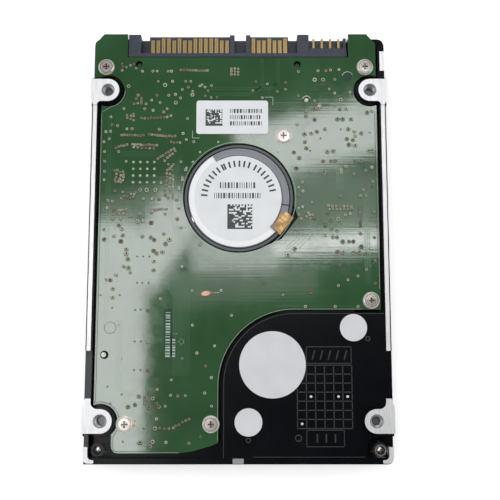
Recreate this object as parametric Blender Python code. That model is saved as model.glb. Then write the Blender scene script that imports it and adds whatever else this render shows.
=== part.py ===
"""A 2.5-inch, 9.5 mm hard disk drive, lying on its top cover with the circuit board up.

Shapes are written in millimetres. +X is right, +Y is the connector end, +Z is the board side.
"""

import math

import bmesh
import bpy

MM = 0.001

# Overall form factor
HALF_WIDTH = 34.925
HALF_LENGTH = 50.1
LUG_TOP = 9.5

# Axes
SPINDLE = (0.0, 10.4)
PIVOT = (7.66, -28.0)
LATCH = (29.6, -22.5)
ARM_ANGLE = 160.0
COIL_ANGLE = -20.0

# Heights of the casting and board
COVER_TOP = 0.5
CASTING_LOW = 0.55
CAVITY_TOP = 5.75
BOARD_FLOOR = 6.75
WALL_TOP = 9.0
RAIL_TOP = 9.3
PAD_TOP = 9.2
BOARD_LOW = 8.1
BOARD_TOP = 8.9
SLOT_FLOOR = 4.7
RAISED_FROM = 6.0
CORNER_FLOOR = 5.5
GAP = 0.05

# Heights of the disc stack
PLATTER_1 = (1.35, 2.0)
PLATTER_2 = (3.75, 4.4)
PLATTER_RADIUS = 32.5
HUB_RADIUS = 10.0

# Mounting and board screws
LUG_HALF = 2.7
LUG_BORE = 1.25
LUGS = ((-30.86, 36.1), (30.86, 36.1), (-30.86, -40.5), (30.86, -40.5))
SIDE_HOLE_HEIGHT = 6.5
SIDE_POCKET = (-33.0, 28.6, 1.7, 5.3)
SCREW_SHANK = 0.8
SCREW_BORE = 0.85
BOARD_SCREW_TOP = 9.4
BOARD_SCREWS = (
    (-31.45, 41.9),
    (29.84, 41.92),
    (10.46, 25.09),
    (30.24, -13.5),
    (-25.41, -41.19),
    (-6.14, -41.18),
)
# (position, radius) of the board's plain holes
PLAIN_HOLES = (
    ((15.91, 33.85), 0.6),
    ((-23.75, 42.7), 0.85),
    ((13.8, 42.7), 0.85),
    ((-30.3, -25.8), 0.95),
)
# (position, height of the tip)
COVER_SCREWS = (
    ((-31.8, -47.1), 5.95),
    ((32.0, -47.1), 5.95),
    ((-31.3, 45.4), 4.0),
    ((31.3, 45.4), 4.0),
    ((-31.2, -27.0), 4.0),
    ((7.66, -28.0), 3.0),
)

BREATHER = (26.05, -19.69)
TEST_PORT = (2.25, -40.75)

# Connector
HOUSING = (-26.3, 25.6, 44.6, 50.1)
TONGUE_LOW = 5.9
TONGUE_TOP = 7.1
CONTACT_PITCH = 1.27
POWER_FIRST = -20.69
POWER_PATTERN = "ssllslsslllllss"
SIGNAL_FIRST = 3.42
SIGNAL_PATTERN = "lsslssl"
PIN_FIRST = 17.9
PIN_PITCH = 2.0
BLADE_HALF = 0.42

# Motor and voice coil
FLANGE_RADIUS = 11.8
TEETH = 9
COIL_HEIGHTS = (3.15, 4.45)
ARM_LEVELS = ((0.62, 1.0), (2.7, 3.05), (4.95, 5.4))

# name: (colour, metallic, roughness)
FINISHES = {
    "black_casting": ((0.02, 0.02, 0.025), 0.6, 0.45),
    "aluminium": ((0.75, 0.76, 0.78), 1.0, 0.35),
    "steel": ((0.55, 0.56, 0.58), 1.0, 0.3),
    "mirror": ((0.85, 0.86, 0.88), 1.0, 0.05),
    "nickel": ((0.65, 0.64, 0.6), 1.0, 0.2),
    "copper": ((0.8, 0.35, 0.15), 1.0, 0.35),
    "gold": ((0.9, 0.65, 0.25), 1.0, 0.25),
    "board": ((0.04, 0.18, 0.06), 0.0, 0.35),
    "black_plastic": ((0.02, 0.02, 0.02), 0.0, 0.5),
    "slate_plastic": ((0.05, 0.055, 0.08), 0.0, 0.45),
    "white_plastic": ((0.8, 0.79, 0.75), 0.0, 0.4),
    "amber_film": ((0.6, 0.25, 0.04), 0.0, 0.3),
    "dark_film": ((0.03, 0.03, 0.03), 0.0, 0.6),
    "rubber": ((0.03, 0.03, 0.03), 0.0, 0.8),
    "paper": ((0.85, 0.85, 0.83), 0.0, 0.6),
    "ferrite": ((0.12, 0.12, 0.13), 0.4, 0.5),
    "filter": ((0.9, 0.9, 0.88), 0.0, 0.9),
}


# ---- 2-D outlines -------------------------------------------------------------------------


def polar(centre, radius, degrees):
    angle = math.radians(degrees)
    return (centre[0] + radius * math.cos(angle), centre[1] + radius * math.sin(angle))


def arc(centre, radius, start, end, steps):
    return [polar(centre, radius, start + (end - start) * i / steps) for i in range(steps + 1)]


def circle(centre, radius, count):
    return [polar(centre, radius, 360 * i / count) for i in range(count)]


def rectangle(left, right, low, high):
    return [(left, low), (right, low), (right, high), (left, high)]


def signed_area(outline):
    following = outline[1:] + outline[:1]
    return sum(a[0] * b[1] - b[0] * a[1] for a, b in zip(outline, following)) / 2


def unit(start, end):
    length = math.dist(start, end)
    return ((end[0] - start[0]) / length, (end[1] - start[1]) / length)


def rounded(outline, radii, steps=4):
    """The outline with each corner replaced by an arc; radii is one number or one per corner."""
    count = len(outline)
    if not isinstance(radii, (list, tuple)):
        radii = [radii] * count
    result = []
    for i, (corner, radius) in enumerate(zip(outline, radii)):
        if not radius:
            result.append(corner)
            continue
        back = unit(corner, outline[i - 1])
        ahead = unit(corner, outline[(i + 1) % count])
        half = math.acos(back[0] * ahead[0] + back[1] * ahead[1]) / 2
        reach = radius / math.tan(half)
        away = radius / math.sin(half)
        middle = unit((0, 0), (back[0] + ahead[0], back[1] + ahead[1]))
        centre = (corner[0] + middle[0] * away, corner[1] + middle[1] * away)
        first = (corner[0] + back[0] * reach, corner[1] + back[1] * reach)
        last = (corner[0] + ahead[0] * reach, corner[1] + ahead[1] * reach)
        start = math.atan2(first[1] - centre[1], first[0] - centre[0])
        turn = math.atan2(last[1] - centre[1], last[0] - centre[0]) - start
        turn = (turn + math.pi) % (2 * math.pi) - math.pi
        result += arc(centre, radius, math.degrees(start), math.degrees(start + turn), steps)
    return result


def offset(outline, distance):
    """The outline moved outwards by the distance along its mitred normals."""
    if signed_area(outline) < 0:
        outline = outline[::-1]
    result = []
    for i, point in enumerate(outline):
        before = unit(outline[i - 1], point)
        after = unit(point, outline[(i + 1) % len(outline)])
        normal = (before[1] + after[1], -before[0] - after[0])
        scale = 2 * distance / (normal[0] ** 2 + normal[1] ** 2)
        result.append((point[0] + normal[0] * scale, point[1] + normal[1] * scale))
    return result


def swing(points, origin, degrees):
    """Points given along and across a direction, set out from the origin."""
    angle = math.radians(degrees)
    along, across = (math.cos(angle), math.sin(angle)), (-math.sin(angle), math.cos(angle))
    return [
        (origin[0] + u * along[0] + v * across[0], origin[1] + u * along[1] + v * across[1])
        for u, v in points
    ]


def sector(centre, inner, outer, start, end, steps=10):
    return arc(centre, outer, start, end, steps) + arc(centre, inner, end, start, steps)


# ---- Solids -------------------------------------------------------------------------------


def prism(outline, low, high):
    if signed_area(outline) < 0:
        outline = outline[::-1]
    count = len(outline)
    verts = [(x, y, z) for z in (low, high) for x, y in outline]
    faces = [tuple(range(count - 1, -1, -1)), tuple(range(count, 2 * count))]
    for i in range(count):
        j = (i + 1) % count
        faces.append((i, j, j + count, i + count))
    return verts, faces


def ring_prism(outer, inner, low, high):
    """A flat ring between two outlines with the same number of points."""
    count = len(outer)
    loops = [[(x, y, z) for x, y in line] for line, z in
             ((outer, low), (outer, high), (inner, high), (inner, low))]
    verts = [point for loop in loops for point in loop]
    faces = []
    for k in range(4):
        a, b = k * count, (k + 1) % 4 * count
        for i in range(count):
            j = (i + 1) % count
            faces.append((a + i, a + j, b + j, b + i))
    return verts, faces


def box(left, right, back, front, low, high):
    return prism(rectangle(left, right, back, front), low, high)


def cylinder(centre, radius, low, high, count=24):
    return prism(circle(centre, radius, count), low, high)


def lathe(profile, centre, count=48):
    """A solid of revolution; the profile is a closed loop of (radius, height)."""
    verts, rings = [], []
    for radius, height in profile:
        start = len(verts)
        if radius == 0:
            verts.append((centre[0], centre[1], height))
            rings.append([start] * count)
        else:
            verts += [(x, y, height) for x, y in circle(centre, radius, count)]
            rings.append(list(range(start, start + count)))
    faces = []
    for ring, following in zip(rings, rings[1:] + rings[:1]):
        for i in range(count):
            j = (i + 1) % count
            corners = list(dict.fromkeys((ring[i], ring[j], following[j], following[i])))
            if len(corners) > 2:
                faces.append(tuple(corners))
    return verts, faces


def side_cylinder(side, y, z, radius, inner, outer, count=20):
    """A cylinder along X on one side of the drive, for the side mounting holes."""
    verts = [(side * x, v, w) for x in (inner, outer) for v, w in circle((y, z), radius, count)]
    _, faces = prism(circle((0, 0), 1, count), 0, 1)
    return verts, faces


def strip(sections, origin, degrees):
    """A bar along a direction through rectangular sections of (distance, half width, low, high)."""
    verts = []
    for u, half, low, high in sections:
        corners = swing([(u, -half), (u, half)] * 2, origin, degrees)
        verts += [(x, y, z) for (x, y), z in zip(corners, (low, low, high, high))]
    faces = [(0, 1, 3, 2)]
    for k in range(len(sections) - 1):
        a, b = 4 * k, 4 * k + 4
        for i, j in ((0, 1), (1, 3), (3, 2), (2, 0)):
            faces.append((a + i, a + j, b + j, b + i))
    end = 4 * len(sections) - 4
    faces.append((end, end + 2, end + 3, end + 1))
    return verts, faces


# ---- Objects ------------------------------------------------------------------------------


def clear_scene():
    for obj in list(bpy.data.objects):
        bpy.data.objects.remove(obj)


def make_mesh(name, solid, origin):
    verts, faces = solid
    shift = (origin[0], origin[1], 0)
    mesh = bpy.data.meshes.new(name)
    points = [tuple((p[k] - shift[k]) * MM for k in range(3)) for p in verts]
    mesh.from_pydata(points, [], faces)
    edit = bmesh.new()
    edit.from_mesh(mesh)
    bmesh.ops.recalc_face_normals(edit, faces=edit.faces)
    edit.to_mesh(mesh)
    edit.free()
    return mesh


def finish_material(name, finish):
    colour, metallic, roughness = FINISHES[finish]
    material = bpy.data.materials.new(name)
    material.use_nodes = True
    shader = material.node_tree.nodes["Principled BSDF"]
    shader.inputs["Base Color"].default_value = (*colour, 1)
    shader.inputs["Metallic"].default_value = metallic
    shader.inputs["Roughness"].default_value = roughness
    material.diffuse_color = (*colour, 1)
    return material


def helper_group(name, operation, solids, origin):
    """A hidden collection of cutters or additions for a Boolean."""
    group = bpy.data.collections.new(f"{name}_{operation}")
    bpy.context.scene.collection.children.link(group)
    for i, solid in enumerate(solids):
        label = f"{name}_{operation}_{i}"
        helper = bpy.data.objects.new(label, make_mesh(label, solid, origin))
        helper.location = (origin[0] * MM, origin[1] * MM, 0)
        helper.hide_render = True
        helper.display_type = "WIRE"
        group.objects.link(helper)
    return group


def piece(name, finish, solid, add=(), cut=(), origin=(0, 0)):
    """One node: a solid with others united to it, then others cut away."""
    mesh = make_mesh(name, solid, origin)
    mesh.materials.append(finish_material(name, finish))
    mesh.shade_smooth()
    mesh.set_sharp_from_angle(angle=math.radians(40))
    obj = bpy.data.objects.new(name, mesh)
    obj.location = (origin[0] * MM, origin[1] * MM, 0)
    bpy.context.scene.collection.objects.link(obj)
    for operation, solids in (("UNION", add), ("DIFFERENCE", cut)):
        if not solids:
            continue
        modifier = obj.modifiers.new(operation.lower(), "BOOLEAN")
        modifier.operation = operation
        modifier.solver = "EXACT"
        modifier.operand_type = "COLLECTION"
        modifier.collection = helper_group(name, operation.lower(), solids, origin)
    return obj


# ---- Casting ------------------------------------------------------------------------------


def cavity_outline():
    """The disc's round chamber joined to the square bay that holds the actuator."""
    half, narrow, foot = 33.0, 27.2, -47.9
    radius = 33.6
    meet = math.degrees(math.acos(half / radius))
    bow = arc(SPINDLE, radius, -meet, 180 + meet, 52)
    left = [(-half, -22.8), (-narrow, -22.8), (-narrow, foot)]
    right = [(narrow, foot), (narrow, -38.0), (30.4, -36.1), (half, -36.1)]
    bay = rounded([bow[-1]] + left + right + [bow[0]], [0, 2, 2, 2, 2, 1, 1, 1.5, 0], 3)
    return bow[1:-1] + bay


def yoke_outline():
    inner = arc(PIVOT, 8.2, -72, -3, 8)
    outer = [(29.8, -28.4), (30.9, -30.0), (30.9, -35.4), (27.0, -37.4), (27.0, -46.9),
             (12.8, -46.9)]
    return inner + outer


def full_height_outline():
    """The raised area of the casting beside the board; its inner corner is a wide curve."""
    corners = [(-3.5, -49.9), (34.4, -49.9), (34.4, -16.3), (-3.5, -16.3)]
    return rounded(corners, [0, 1.2, 0, 16.1], 16)


def lug_outline(centre):
    """A rounded tongue with a neck along the drive's edge, towards the middle of the drive."""
    side = 1 if centre[0] > 0 else -1
    way = -1 if centre[1] > 0 else 1
    reach = HALF_WIDTH - abs(centre[0])
    if way > 0:
        neck = [(reach, 2.9), (3.4, 5.0), (2.15, 5.0), (2.15, LUG_HALF)]
    else:
        neck = [(reach, 2.0), (3.4, 3.6), (2.5, 3.6), (2.5, LUG_HALF)]
    neck = rounded(neck + [(0, LUG_HALF)], [0, 0, 0, 0.85 if way < 0 else 1.4, 0])
    outline = [(reach, -LUG_HALF)] + neck + arc((0, 0), LUG_HALF, 99, 270, 10)
    return [(centre[0] + side * x, centre[1] + way * y) for x, y in outline]


def corner_pad(side):
    """The bright corner at the drive's plain end, cut back around the screw recess."""
    corners = [(34.5, -46.1), (34.5, -49.7), (32.1, -49.7), (32.1, -48.95), (33.5, -48.95),
               (33.5, -46.1)]
    radii = [0, 1.1, 0.3, 0, 1.0, 0]
    return [(side * x, y) for x, y in rounded(corners, radii)]


def casting_additions():
    solids = [
        prism(full_height_outline(), RAISED_FROM, WALL_TOP),
        box(-34.4, -3.0, -49.9, -48.6, RAISED_FROM, WALL_TOP),
        box(32.8, 34.4, 38.0, 47.5, RAISED_FROM, WALL_TOP),
        cylinder(SPINDLE, 12.6, RAISED_FROM, 8.6, 56),
    ]
    for side in (-1, 1):
        inner, outer = sorted((side * 33.0, side * 34.6))
        solids.append(box(inner, outer, -24.9, 33.5, RAISED_FROM, WALL_TOP - 0.1))
        solids.append(box(*sorted((side * 33.36, side * 34.28)), -24.9, 33.5, 8.0, RAIL_TOP))
        solids.append(box(inner, outer, -38.0, -24.0, RAISED_FROM, 8.6))
        solids.append(prism(corner_pad(side), RAISED_FROM, PAD_TOP))
        solids.append(box(*sorted((side * 33.4, side * 34.4)), -46.5, -40.5, 5.0, WALL_TOP))
    solids.append(box(33.3, 34.4, 40.9, 45.7, RAISED_FROM, PAD_TOP))
    for centre in LUGS:
        side = 1 if centre[0] > 0 else -1
        solids.append(prism(lug_outline(centre), RAISED_FROM, LUG_TOP))
        solids.append(cylinder(centre, 3.3, 5.9, 8.4))
        edges = sorted((side * 33.8, side * HALF_WIDTH))
        solids.append(box(*edges, centre[1] - 3.4, centre[1] + 3.4, 3.2, 7.9))
    solids += [cylinder(at, 2.3, RAISED_FROM, BOARD_LOW - GAP) for at in BOARD_SCREWS]
    return solids


def casting_cuts():
    outline = cavity_outline()
    solids = [
        prism(outline, 0, CAVITY_TOP),
        prism(offset(outline, 0.95), 0, 0.9),
        prism(offset(yoke_outline(), 0.35), 5, 7.5),
        cylinder(SPINDLE, 11.9, 5, 9.5, 56),
        box(-26.6, 25.9, 44.45, 52, SLOT_FLOOR, 12),
        prism(rounded(rectangle(-33.4, -28.6, -48.4, -43.9), [0, 0, 2.5, 0]), CORNER_FLOOR, 12),
        prism(rounded(rectangle(28.6, 33.4, -48.4, -43.9), [0, 0, 0, 2.5]), CORNER_FLOOR, 12),
        box(-22.9, -10.8, -37.0, -31.6, 5, 8),
        cylinder(PIVOT, 1.8, 5, 8.2, 20),
        cylinder(PIVOT, 3.2, 7.9, 9.5),
        cylinder(BREATHER, 1.2, 5, 9.5, 16),
        cylinder(TEST_PORT, 1.2, 5, 9.5, 16),
        cylinder(LATCH, SCREW_BORE, 5, 6.7, 16),
        prism(sector(LUGS[3], 2.75, 3.35, 95, 268, 12), 8.3, 9.6),
    ]
    for side in (-1, 1):
        edges = sorted((side * 34.35, side * 36))
        solids.append(box(*edges, *SIDE_POCKET))
    for centre in LUGS:
        side = 1 if centre[0] > 0 else -1
        bore = [(0, 6.9), (LUG_BORE, 6.9), (LUG_BORE, 9.2), (1.75, 9.7), (0, 9.7)]
        solids.append(lathe(bore, centre, 24))
        solids.append(side_cylinder(side, centre[1], SIDE_HOLE_HEIGHT, LUG_BORE, 32.4, 36))
    solids += [cylinder(at, SCREW_BORE, 6.2, 8.5, 12) for at in BOARD_SCREWS]
    for at, tip in COVER_SCREWS[:5]:
        solids.append(cylinder(at, SCREW_BORE, 0, tip + 0.4, 12))
    return solids


def make_casting():
    corners = rectangle(-34.7, 34.7, -HALF_LENGTH, 49.7)
    block = prism(rounded(corners, 1.5), CASTING_LOW, BOARD_FLOOR)
    piece("base_casting", "black_casting", block, casting_additions(), casting_cuts())


def make_cover():
    outline = rounded(rectangle(-34.5, 34.5, -49.8, 49.4), 1.6)
    recess = rounded(rectangle(-27.0, 27.0, -40.0, 40.0), 3.0)
    holes = [prism(recess, -1, 0.08)]
    for at, _ in COVER_SCREWS:
        profile = [(0, -0.1), (1.65, -0.1), (1.65, 0.05), (0.95, 0.48), (0.95, 1), (0, 1)]
        holes.append(lathe(profile, at, 16))
    piece("top_cover", "steel", prism(outline, 0, COVER_TOP), cut=holes)
    ring = cavity_outline()
    gasket = ring_prism(offset(ring, 0.85), offset(ring, 0.25), 0.55, 0.85)
    piece("cover_gasket", "rubber", gasket)


# ---- Screws -------------------------------------------------------------------------------


def cross_outline(centre, reach, width):
    half = width / 2
    quarter = [(reach, -half), (reach, half), (half, half)]
    points = []
    for turn in range(4):
        angle = math.radians(90 * turn)
        for x, y in quarter:
            points.append((
                centre[0] + x * math.cos(angle) - y * math.sin(angle),
                centre[1] + x * math.sin(angle) + y * math.cos(angle),
            ))
    return points


def make_board_screws():
    low, seat, top = 6.4, BOARD_TOP + GAP, BOARD_SCREW_TOP
    for number, at in enumerate(BOARD_SCREWS, 1):
        profile = [(0, low), (SCREW_SHANK, low), (SCREW_SHANK, seat), (1.75, seat),
                   (1.75, top - 0.16), (1.6, top - 0.03), (0, top)]
        recess = prism(cross_outline(at, 0.72, 0.34), top - 0.32, top + 1)
        piece(f"pcb_screw_{number}", "nickel", lathe(profile, at, 20), cut=[recess])


def make_cover_screws():
    for number, (at, tip) in enumerate(COVER_SCREWS, 1):
        profile = [(0, 0.03), (1.55, 0.03), (1.55, 0.08), (SCREW_SHANK, 0.5), (SCREW_SHANK, tip),
                   (0, tip)]
        recess = prism(circle(at, 0.6, 6), -1, 0.35)
        piece(f"cover_screw_{number}", "steel", lathe(profile, at, 16), cut=[recess])


# ---- Board and its parts ------------------------------------------------------------------


def board_outline():
    return (
        [(-34.2, 47.7), (-34.2, 36.1), (-32.4, 36.1), (-32.4, -40.5), (-28.35, -40.5)]
        + rounded([(-28.35, -44.0), (-28.35, -47.5), (-20.0, -47.5)], [0, 1.6, 0])
        + [(-13.3, -47.5), (-10.2, -47.05), (-7.8, -46.4), (-5.9, -45.85), (-4.5, -45.2)]
        + rounded([(-4.5, -44.0), (-4.5, -15.6), (20.0, -15.6)], [0, 17.1, 0], 12)
        + [(32.35, -15.6), (32.4, 47.7), (30.3, 50.1), (25.95, 50.1), (25.95, 44.35)]
        + [(-26.5, 44.35), (-26.5, 50.1), (-32.1, 50.1)]
    )


def motor_opening():
    """The round opening for the motor, with a square corner for its flexible tail."""
    bow = arc(SPINDLE, 12.95, -8, 300, 40)
    return bow + [(9.9, 0.7), (13.7, 5.7)]


def make_board():
    holes = [prism(motor_opening(), 8, 9)]
    holes += [cylinder(centre, 3.85, 8, 9, 32) for centre in LUGS[:3]]
    holes.append(box(-36, -31, 35, 39.4, 8, 9))
    holes += [cylinder(at, 1.05, 8, 9, 12) for at in BOARD_SCREWS]
    for at, radius in PLAIN_HOLES:
        holes.append(cylinder(at, radius, 8, 9, 16))
    piece("pcb", "board", prism(board_outline(), BOARD_LOW, BOARD_TOP), cut=holes)


def make_insulator():
    outline = [(-31.5, 43.5), (-31.5, -45.5), (-5.6, -44.0), (-5.6, -25.0), (0.0, -16.5),
               (26.5, -16.0), (26.5, -9.0), (30.9, -9.0), (30.9, 43.5)]
    holes = [cylinder(SPINDLE, 13.2, 6, 8, 48), box(-23.3, -10.4, -37.4, -31.2, 6, 8)]
    holes += [cylinder(centre, 3.7, 6, 8) for centre in LUGS[:3]]
    holes += [cylinder(at, 2.6, 6, 8) for at in BOARD_SCREWS]
    piece("pcb_insulator", "dark_film", prism(outline, 6.8, 6.92), cut=holes)


def make_chips():
    def chip(name, x, y, half_x, half_y, low):
        corners = rounded(rectangle(x - half_x, x + half_x, y - half_y, y + half_y), 0.3, 1)
        piece(name, "black_plastic", prism(corners, low, BOARD_LOW - GAP))

    chip("controller_chip", -17.0, 28.0, 6.0, 6.0, 6.97)
    chip("memory_chip", -22.5, 8.0, 4.0, 5.5, 7.1)
    chip("motor_driver_chip", 22.0, 14.0, 3.5, 3.5, 7.1)
    body = box(-22.6, -11.1, -36.7, -31.9, 4.3, BOARD_LOW - GAP)
    grooves = [box(-22.0 + 1.1 * i, -21.5 + 1.1 * i, -34.6, -34.0, 3, 4.8) for i in range(10)]
    piece("head_connector", "black_plastic", body, cut=grooves)


# ---- Connector ----------------------------------------------------------------------------


def make_housing():
    left, right, back, front = HOUSING
    floor = box(left, right, back, 49.9, SLOT_FLOOR + GAP, 5.3)
    walls = [
        box(left, right, back, 45.5, 5, 8.6),
        box(-21.5, -1.3, 45, front, TONGUE_LOW, TONGUE_TOP),
        box(1.6, 11.75, 45, front, TONGUE_LOW, TONGUE_TOP),
        box(-21.5, 11.75, back, 46.0, 5, TONGUE_TOP),
        box(left, -23.45, back, front, 5, 8.6),
        box(13.85, 16.6, back, front, 5, 8.6),
        box(-2.2, -1.1, back, front, 5.9, 8.3),
        box(1.6, 2.7, back, front, 5.9, 8.3),
        box(16.0, right, back, 46.9, 5, 8.2),
        box(24.9, right, back, 49.6, 5, 7.6),
    ]
    cuts = [
        box(-21.3, -2.25, 44.8, 45.7, TONGUE_TOP, 7.35),
        box(2.75, 11.7, 44.8, 45.7, TONGUE_TOP, 7.35),
        box(17.4, 24.4, 45.0, 45.8, 6.15, 6.85),
    ]
    for i in range(4):
        x = PIN_FIRST + PIN_PITCH * i
        cuts.append(box(x - 0.3, x + 0.3, 45.5, 47.5, 6.2, 6.8))
    piece("sata_housing", "slate_plastic", floor, walls, cuts)


def contact_comb(name, first, pattern):
    low, high = TONGUE_TOP + GAP, TONGUE_TOP + 0.17
    last = first + CONTACT_PITCH * (len(pattern) - 1)
    bar = box(first - BLADE_HALF, last + BLADE_HALF, 44.9, 45.35, low, high)
    blades = []
    for i, kind in enumerate(pattern):
        x = first + CONTACT_PITCH * i
        tip = 49.7 if kind == "l" else 49.2
        blades.append(box(x - BLADE_HALF, x + BLADE_HALF, 45.2, tip, low, high))
    piece(name, "gold", bar, blades)


def make_connector():
    make_housing()
    contact_comb("power_contacts", POWER_FIRST, POWER_PATTERN)
    contact_comb("signal_contacts", SIGNAL_FIRST, SIGNAL_PATTERN)
    bar = box(PIN_FIRST - 0.4, PIN_FIRST + 3 * PIN_PITCH + 0.4, 45.1, 45.7, 6.25, 6.75)
    pins = []
    for i in range(4):
        x = PIN_FIRST + PIN_PITCH * i
        pins.append(box(x - 0.25, x + 0.25, 45.4, 49.8, 6.25, 6.75))
    piece("jumper_pins", "gold", bar, pins)


# ---- Motor --------------------------------------------------------------------------------


def stator_outline():
    points = []
    for tooth in range(TEETH):
        middle = 360 / TEETH * tooth
        points += [polar(SPINDLE, 4.6, middle - 11), polar(SPINDLE, 7.1, middle - 6),
                   polar(SPINDLE, 7.1, middle - 16)]
        points += arc(SPINDLE, 8.1, middle - 16, middle + 16, 3)
        points += [polar(SPINDLE, 7.1, middle + 16), polar(SPINDLE, 7.1, middle + 6),
                   polar(SPINDLE, 4.6, middle + 11)]
    return points


def make_stator():
    core = prism(stator_outline(), 5.9, 6.9)
    piece("stator_core", "steel", core, cut=[cylinder(SPINDLE, 3.65, 5, 8, 32)])
    ring = lathe([(4.75, 7.1), (5.3, 7.1), (5.3, 7.4), (4.75, 7.4)], SPINDLE, 36)
    coils, slots = [], []
    for tooth in range(TEETH):
        angle = 360 / TEETH * tooth
        outer = swing([(4.9, -1.1), (6.9, -1.45), (6.9, 1.45), (4.9, 1.1)], SPINDLE, angle)
        slot = swing([(4, -0.95), (7.5, -0.95), (7.5, 0.95), (4, 0.95)], SPINDLE, angle)
        coils.append(prism(outer, 5.5, 7.3))
        slots.append(prism(slot, 5.8, 7.0))
    piece("stator_windings", "copper", ring, coils, slots)


def make_motor():
    flange = [(0, 7.85), (3.05, 7.85), (3.05, 5.6), (3.6, 5.6), (3.6, 7.8), (11.1, 7.8),
              (11.1, 6.0), (FLANGE_RADIUS, 6.0), (FLANGE_RADIUS, 8.55),
              (FLANGE_RADIUS - 0.1, 8.65), (0, 8.65)]
    piece("motor_flange", "steel", lathe(flange, SPINDLE, 56), origin=SPINDLE)
    sleeve = [(1.3, 2.65), (3.0, 2.65), (3.0, 7.8), (1.3, 7.8)]
    piece("bearing_sleeve", "nickel", lathe(sleeve, SPINDLE, 32))
    make_stator()
    tail = [(9.75, 6.75), (8.05, 3.55), (9.5, 1.6), (12.7, 5.6)]
    piece("motor_flex", "amber_film", prism(tail, 8.7, 8.82))
    label = arc(SPINDLE, 9.95, -44, 122, 28) + arc(SPINDLE, 11.6, 122, 316, 32)
    piece("spindle_label", "paper", prism(label, 8.7, 8.78))


def make_rotor():
    hub = [(1.3, 1.75), (7.2, 1.75), (7.2, 1.4), (HUB_RADIUS, 1.4), (HUB_RADIUS, 4.45),
           (11.3, 4.45), (11.3, 5.0), (10.6, 5.0), (10.6, 7.4), (9.45, 7.4), (9.45, 5.1),
           (3.3, 5.1), (3.3, 2.5), (1.3, 2.5)]
    piece("spindle_hub", "aluminium", lathe(hub, SPINDLE, 48), origin=SPINDLE)
    shaft = [(0.6, 1.8), (1.25, 1.8), (1.25, 7.6), (0, 7.6), (0, 3.8), (0.6, 3.8)]
    piece("spindle_shaft", "steel", lathe(shaft, SPINDLE, 24), origin=SPINDLE)
    magnet = [(8.55, 5.2), (9.4, 5.2), (9.4, 7.3), (8.55, 7.3)]
    piece("rotor_magnet", "ferrite", lathe(magnet, SPINDLE, 40), origin=SPINDLE)
    for number, (low, high) in enumerate((PLATTER_1, PLATTER_2), 1):
        profile = [(10.1, low), (PLATTER_RADIUS, low), (PLATTER_RADIUS, high), (10.1, high)]
        piece(f"platter_{number}", "mirror", lathe(profile, SPINDLE, 64), origin=SPINDLE)
    spacer = [(10.1, 2.05), (12.0, 2.05), (12.0, 3.7), (10.1, 3.7)]
    piece("platter_spacer", "aluminium", lathe(spacer, SPINDLE, 40), origin=SPINDLE)
    clamp = [(0.7, 1.25), (5.4, 1.25), (6.2, 0.85), (11.9, 0.85), (11.9, 1.3), (6.9, 1.3),
             (6.2, 1.65), (0.7, 1.65)]
    piece("disc_clamp", "steel", lathe(clamp, SPINDLE, 40), origin=SPINDLE)
    screw = [(0, 0.72), (2.2, 0.72), (2.2, 1.2), (0.55, 1.2), (0.55, 3.5), (0, 3.5)]
    recess = prism(circle(SPINDLE, 0.9, 6), 0, 1.05)
    piece("clamp_screw", "steel", lathe(screw, SPINDLE, 24), cut=[recess], origin=SPINDLE)


# ---- Actuator -----------------------------------------------------------------------------


def arm_outline():
    edge = [(0, 4.6), (6, 4.6), (20.6, 2.3), (21.6, 1.6)]
    other = [(u, -v) for u, v in reversed(edge)]
    return swing(edge + other, PIVOT, ARM_ANGLE)


def make_arm_block():
    low, high = ARM_LEVELS[0][0], ARM_LEVELS[-1][1]
    solids = [prism(arm_outline(), *heights) for heights in ARM_LEVELS]
    for side in (-1, 1):
        start, end = COIL_ANGLE + side * 15.7, COIL_ANGLE + side * 19.3
        solids.append(prism(sector(PIVOT, 4.8, 19.8, start, end, 2), 3.1, 4.5))
    lightening = swing([(11.0, -1.9), (17.0, -1.1), (17.0, 1.1), (11.0, 1.9)], PIVOT, ARM_ANGLE)
    cuts = [cylinder(PIVOT, 4.05, 0, 7, 40), prism(rounded(lightening, 0.7, 3), 0, 7)]
    piece("arm_block", "aluminium", cylinder(PIVOT, 6.0, low, high, 48), solids, cuts, PIVOT)


def make_actuator():
    make_arm_block()
    bearing = [(1.8, 0.8), (2.5, 0.8), (2.5, 1.0), (3.3, 1.0), (3.3, 0.8), (4.0, 0.8), (4.0, 5.3),
               (1.8, 5.3)]
    piece("pivot_bearing", "steel", lathe(bearing, PIVOT, 32), origin=PIVOT)
    shaft = [(0.85, 0.55), (1.75, 0.55), (1.75, 7.8), (0, 7.8), (0, 3.4), (0.85, 3.4)]
    piece("pivot_shaft", "steel", lathe(shaft, PIVOT, 24))
    wide = sector(PIVOT, 9.3, 19.9, COIL_ANGLE - 15, COIL_ANGLE + 15, 1)
    narrow = sector(PIVOT, 12.2, 17.2, COIL_ANGLE - 6.5, COIL_ANGLE + 6.5, 1)
    coil = ring_prism(rounded(wide, 1.8), rounded(narrow, 0.8), *COIL_HEIGHTS)
    piece("voice_coil", "copper", coil, origin=PIVOT)
    make_suspensions()


def make_suspensions():
    """Each: the face on the arm, the height at the tip, and which way its slider points."""
    plates = ((1.05, 1.05, 1), (2.65, 2.3, -1), (3.1, 3.45, 1), (4.9, 4.7, -1))
    thick, slider = 0.08, 0.26
    for number, (root, tip, way) in enumerate(plates, 1):
        def level(base, depth):
            return tuple(sorted((base, base + way * depth)))

        sections = [
            (18.2, 2.0, *level(root, thick)),
            (21.9, 2.0, *level(root, thick)),
            (32.1, 0.6, *level(tip, thick)),
            (32.3, 0.5, *level(tip, slider)),
            (33.4, 0.5, *level(tip, slider)),
            (33.5, 0.25, *level(tip, thick)),
            (34.8, 0.25, *level(tip, thick)),
        ]
        piece(f"suspension_{number}", "steel", strip(sections, PIVOT, ARM_ANGLE), origin=PIVOT)


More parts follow.
